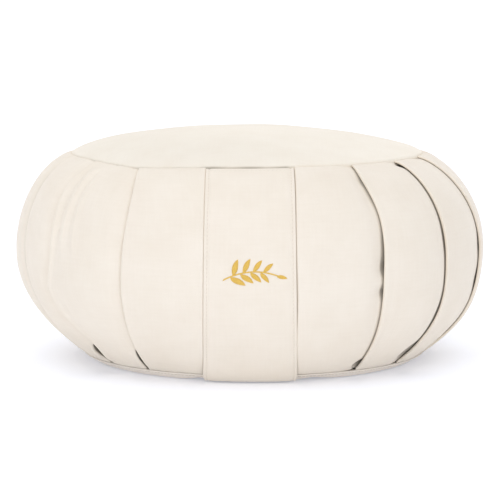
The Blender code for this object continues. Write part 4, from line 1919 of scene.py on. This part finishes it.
@dataclass
class SprigEmbroidery:
    """A sprig in gold satin stitch: a bowed stem with leaves in pairs and one at its tip."""

    form: SideForm
    panel: FrontPanel
    thread: Thread
    centre_share: float = 0.5
    stem_mm: float = 36.0
    stem_bow_mm: float = 4.0
    pairs: int = 4
    leaf_mm: tuple[float, float] = (12.0, 7.5)
    leaf_width_mm: float = 4.6
    stitch_pitch_mm: float = 0.36
    loft_mm: float = 0.55
    sunk_mm: float = 0.03
    strands: Strands = Strands(radius_mm=0.24, sections=7, sides=5)

    def stem_at(self, t: Array) -> tuple[Array, Array, Array]:
        """Place and heading of the stem at t from 0 to 1: a line that rises, bowed upwards.

        Args:
            t: Shares of the stem's length.

        Returns:
            x and y in millimetres, and the heading in degrees.
        """
        x = self.stem_mm * (t - 0.5)
        y = 3.0 * (t - 0.5) + self.stem_bow_mm * bulge(t) - 0.6 * self.stem_bow_mm
        slope = 3.0 + self.stem_bow_mm * 4.0 * (1.0 - 2.0 * t)
        return x, y, np.degrees(np.arctan2(slope, self.stem_mm))

    def leaves(self) -> list[Leaf]:
        """The leaves, smaller towards the tip and turned forward from the stem.

        Returns:
            The leaves, from the stem's foot to its tip.
        """
        leaves = []
        big, small = self.leaf_mm
        for index in range(self.pairs):
            for side in (-1.0, 1.0):
                t = 0.12 + 0.76 * (index + 0.25 * (side > 0.0)) / self.pairs
                x, y, heading = (float(part) for part in self.stem_at(np.array(t)))
                length = big + (small - big) * t
                lean = side * (52.0 - 8.0 * t)
                leaves.append(Leaf(x, y, heading + lean, length, self.leaf_width_mm * length / big))
        x, y, heading = (float(part) for part in self.stem_at(np.array(1.0)))
        leaves.append(Leaf(x - 0.5, y, heading + 4.0, small, self.leaf_width_mm * 0.62))
        return leaves

    def leaf_strands(self, leaf: Leaf) -> tuple[Array, Array, Array]:
        """Satin stitches of one leaf: slanted across it from edge to edge.

        The edge is a lens: half the width times the sine of pi times the share of the length, to
        the power 0.8. Each end of a stitch is moved along the leaf, one forward and one back.

        Args:
            leaf: The leaf.

        Returns:
            Starts and ends as x and y in millimetres, and how high each stitch arches.
        """
        count = int(leaf.length / self.stitch_pitch_mm)
        share = (np.arange(count) + 0.5) / count
        half = 0.5 * leaf.width * np.sin(math.pi * share ** 0.85) ** 0.8
        place = leaf.length * share + 0.6
        slant = 0.45 * half
        heading = math.radians(leaf.heading)
        ends = []
        for side in (-1.0, 1.0):
            forward, sideways = place + side * slant, side * half
            x = leaf.x + forward * math.cos(heading) - sideways * math.sin(heading)
            y = leaf.y + forward * math.sin(heading) + sideways * math.cos(heading)
            ends.append(np.stack([x, y], axis=-1))
        return ends[0], ends[1], self.loft_mm * half / (0.5 * self.leaf_width_mm)

    def stem_strands(self) -> tuple[Array, Array, Array]:
        """The stem: short slanted stitches over its line.

        Returns:
            Starts and ends as x and y in millimetres, and how high each stitch arches.
        """
        t = np.linspace(0.0, 1.0, int(self.stem_mm / self.stitch_pitch_mm))
        x, y, heading = self.stem_at(t)
        lean = np.radians(heading + 35.0)
        reach = np.stack([np.cos(lean), np.sin(lean)], axis=-1) * 0.75
        line = np.stack([x, y], axis=-1)
        return line - reach, line + reach, np.full(len(t), 0.3)

    def on_cloth(self, place_mm: Array) -> tuple[Array, Array]:
        """Points on the panel's face for a flat design, and its normals there.

        Args:
            place_mm: x and y on the flat design.

        Returns:
            The points and the unit normals.
        """
        middle = self.form.length_at(np.full(1, self.centre_share))
        length = middle + place_mm[:, 1] * MM
        v = self.form.share_at(length)
        across = place_mm[:, 0] * MM / self.panel.cover.panel_half_width(v)
        return self.panel.on_face(across, length, self.panel.rise_mm - self.sunk_mm)

    def build(self) -> bpy.types.Object:
        """Make the sprig as one piece of joined strands.

        Returns:
            The piece.
        """
        parts = [self.stem_strands(), *(self.leaf_strands(leaf) for leaf in self.leaves())]
        starts, ends, arch = (np.concatenate([part[which] for part in parts]) for which in range(3))
        start_points, normals = self.on_cloth(starts)
        end_points, _ = self.on_cloth(ends)
        surface = self.strands.surface(start_points, end_points, normals, arch * MM)
        piece = surface.to_object("sprig_embroidery", self.thread.build())
        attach(piece, BODY)
        return piece


# ------------------------------------------------------------------ the studio
@dataclass(frozen=True)
class Studio:
    """A plain pale floor in a white tent, with a broad weak key from the upper left front."""

    eye: tuple[float, float, float] = (0.0, -1.70, 0.2877)
    pitch: float = 7.016
    lens_mm: float = 164.3
    sensor_mm: float = 36.0
    floor_half: float = 40.0
    sky: str = "#F8FAFF"
    sky_strength: float = 1.32
    side_loss: float = 0.76
    key_from: tuple[float, float, float] = (-0.38, -0.70, 0.60)
    key_strength: float = 0.24
    key_spread: float = 70.0
    key_colour: str = "#FFFFFF"

    def build(self) -> None:
        """Make the floor, the lights, the tent and the camera."""
        self.add_floor()
        self.add_key()
        self.add_tent()
        bpy.context.scene.view_settings.view_transform = "Standard"
        self.add_camera()

    def add_floor(self) -> None:
        """A wide level board under the cushion."""
        half = self.floor_half
        corners = np.array([(-half, -half, 0.0), (half, -half, 0.0), (half, half, 0.0), (-half, half, 0.0)])
        surface = Surface(corners, [[0, 1, 2, 3]], corners[:, :2])
        surface.to_object("floor", StudioFloor().build())

    def add_key(self) -> None:
        """The key: a lamp so broad and far off that it lights the whole floor alike."""
        data = bpy.data.lights.new("key", "SUN")
        data.energy = self.key_strength
        data.angle = math.radians(self.key_spread)
        data.color = linear(self.key_colour)[:3]
        light = bpy.data.objects.new("key", data)
        light.rotation_euler = Vector(self.key_from).to_track_quat("Z", "Y").to_euler()
        bpy.context.scene.collection.objects.link(light)

    def add_tent(self) -> None:
        """The white tent all round: its light falls off to both sides with the square of x."""
        world = bpy.data.worlds.new("studio")
        world.use_nodes = True
        tree = world.node_tree
        direction = add_node(tree, "ShaderNodeTexCoord").outputs["Generated"]
        aside = add_node(tree, "ShaderNodeSeparateXYZ", {0: direction}).outputs["X"]
        square = add_node(tree, "ShaderNodeMath", {0: aside, 1: aside}, operation="MULTIPLY").outputs[0]
        low = self.sky_strength * (1.0 - self.side_loss)
        level = add_node(tree, "ShaderNodeMapRange", {0: square, 3: self.sky_strength, 4: low})
        background = tree.nodes["Background"]
        background.inputs["Color"].default_value = linear(self.sky)
        tree.links.new(level.outputs[0], background.inputs["Strength"])
        bpy.context.scene.world = world

    def add_camera(self) -> None:
        """A long lens, level but for its pitch, as in the photograph."""
        data = bpy.data.cameras.new("camera")
        data.lens = self.lens_mm
        data.sensor_width = self.sensor_mm
        camera = bpy.data.objects.new("camera", data)
        camera.location = self.eye
        camera.rotation_euler = (math.radians(90.0 - self.pitch), 0.0, 0.0)
        bpy.context.scene.collection.objects.link(camera)
        bpy.context.scene.camera = camera


def main() -> None:
    """Build the studio and the cushion's pieces in order."""
    logging.basicConfig(level=logging.INFO, format="%(name)s: %(message)s")
    Studio().build()
    form = SideForm()
    settling = Settling.SIMULATED
    cover = PleatedCover(form, CottonCanvas("pleated_cotton_duck"), settling)
    # The crown's and the base's canvas are painted lighter than the side's: painted light on the crown's
    # top and the base's rim. The crown's own canvas is a little lighter as well.
    crown = CrownPanel(form, CottonCanvas("crown_cotton_duck", colour="#FDF6E8", shade="#F2E7D5"))
    base = BasePanel(form, CottonCanvas("base_cotton_duck", colour="#FAF2E7", shade="#EFE4D5"))
    panel = FrontPanel(form, cover, CottonCanvas("panel_cotton_duck"))
    stitching = Topstitching(form, panel, base, Thread(
        "spun_polyester_thread", colour="#EDE3D6", shade="#D8CBBA", roughness=0.8, sheen=0.1))
    sprig = SprigEmbroidery(form, panel, Thread(
        "rayon_embroidery_thread", colour="#EFCB62", shade="#D9AE45", roughness=0.42, sheen=0.2))
    makers = (cover.build, crown.build, base.build, panel.build, stitching.panel_lines,
              stitching.seam_line, stitching.welt_line, sprig.build)
    for make in makers:
        piece = make()
        LOG.info("%s: %d faces", piece.name, len(piece.data.polygons))


if __name__ == "__main__":
    main()
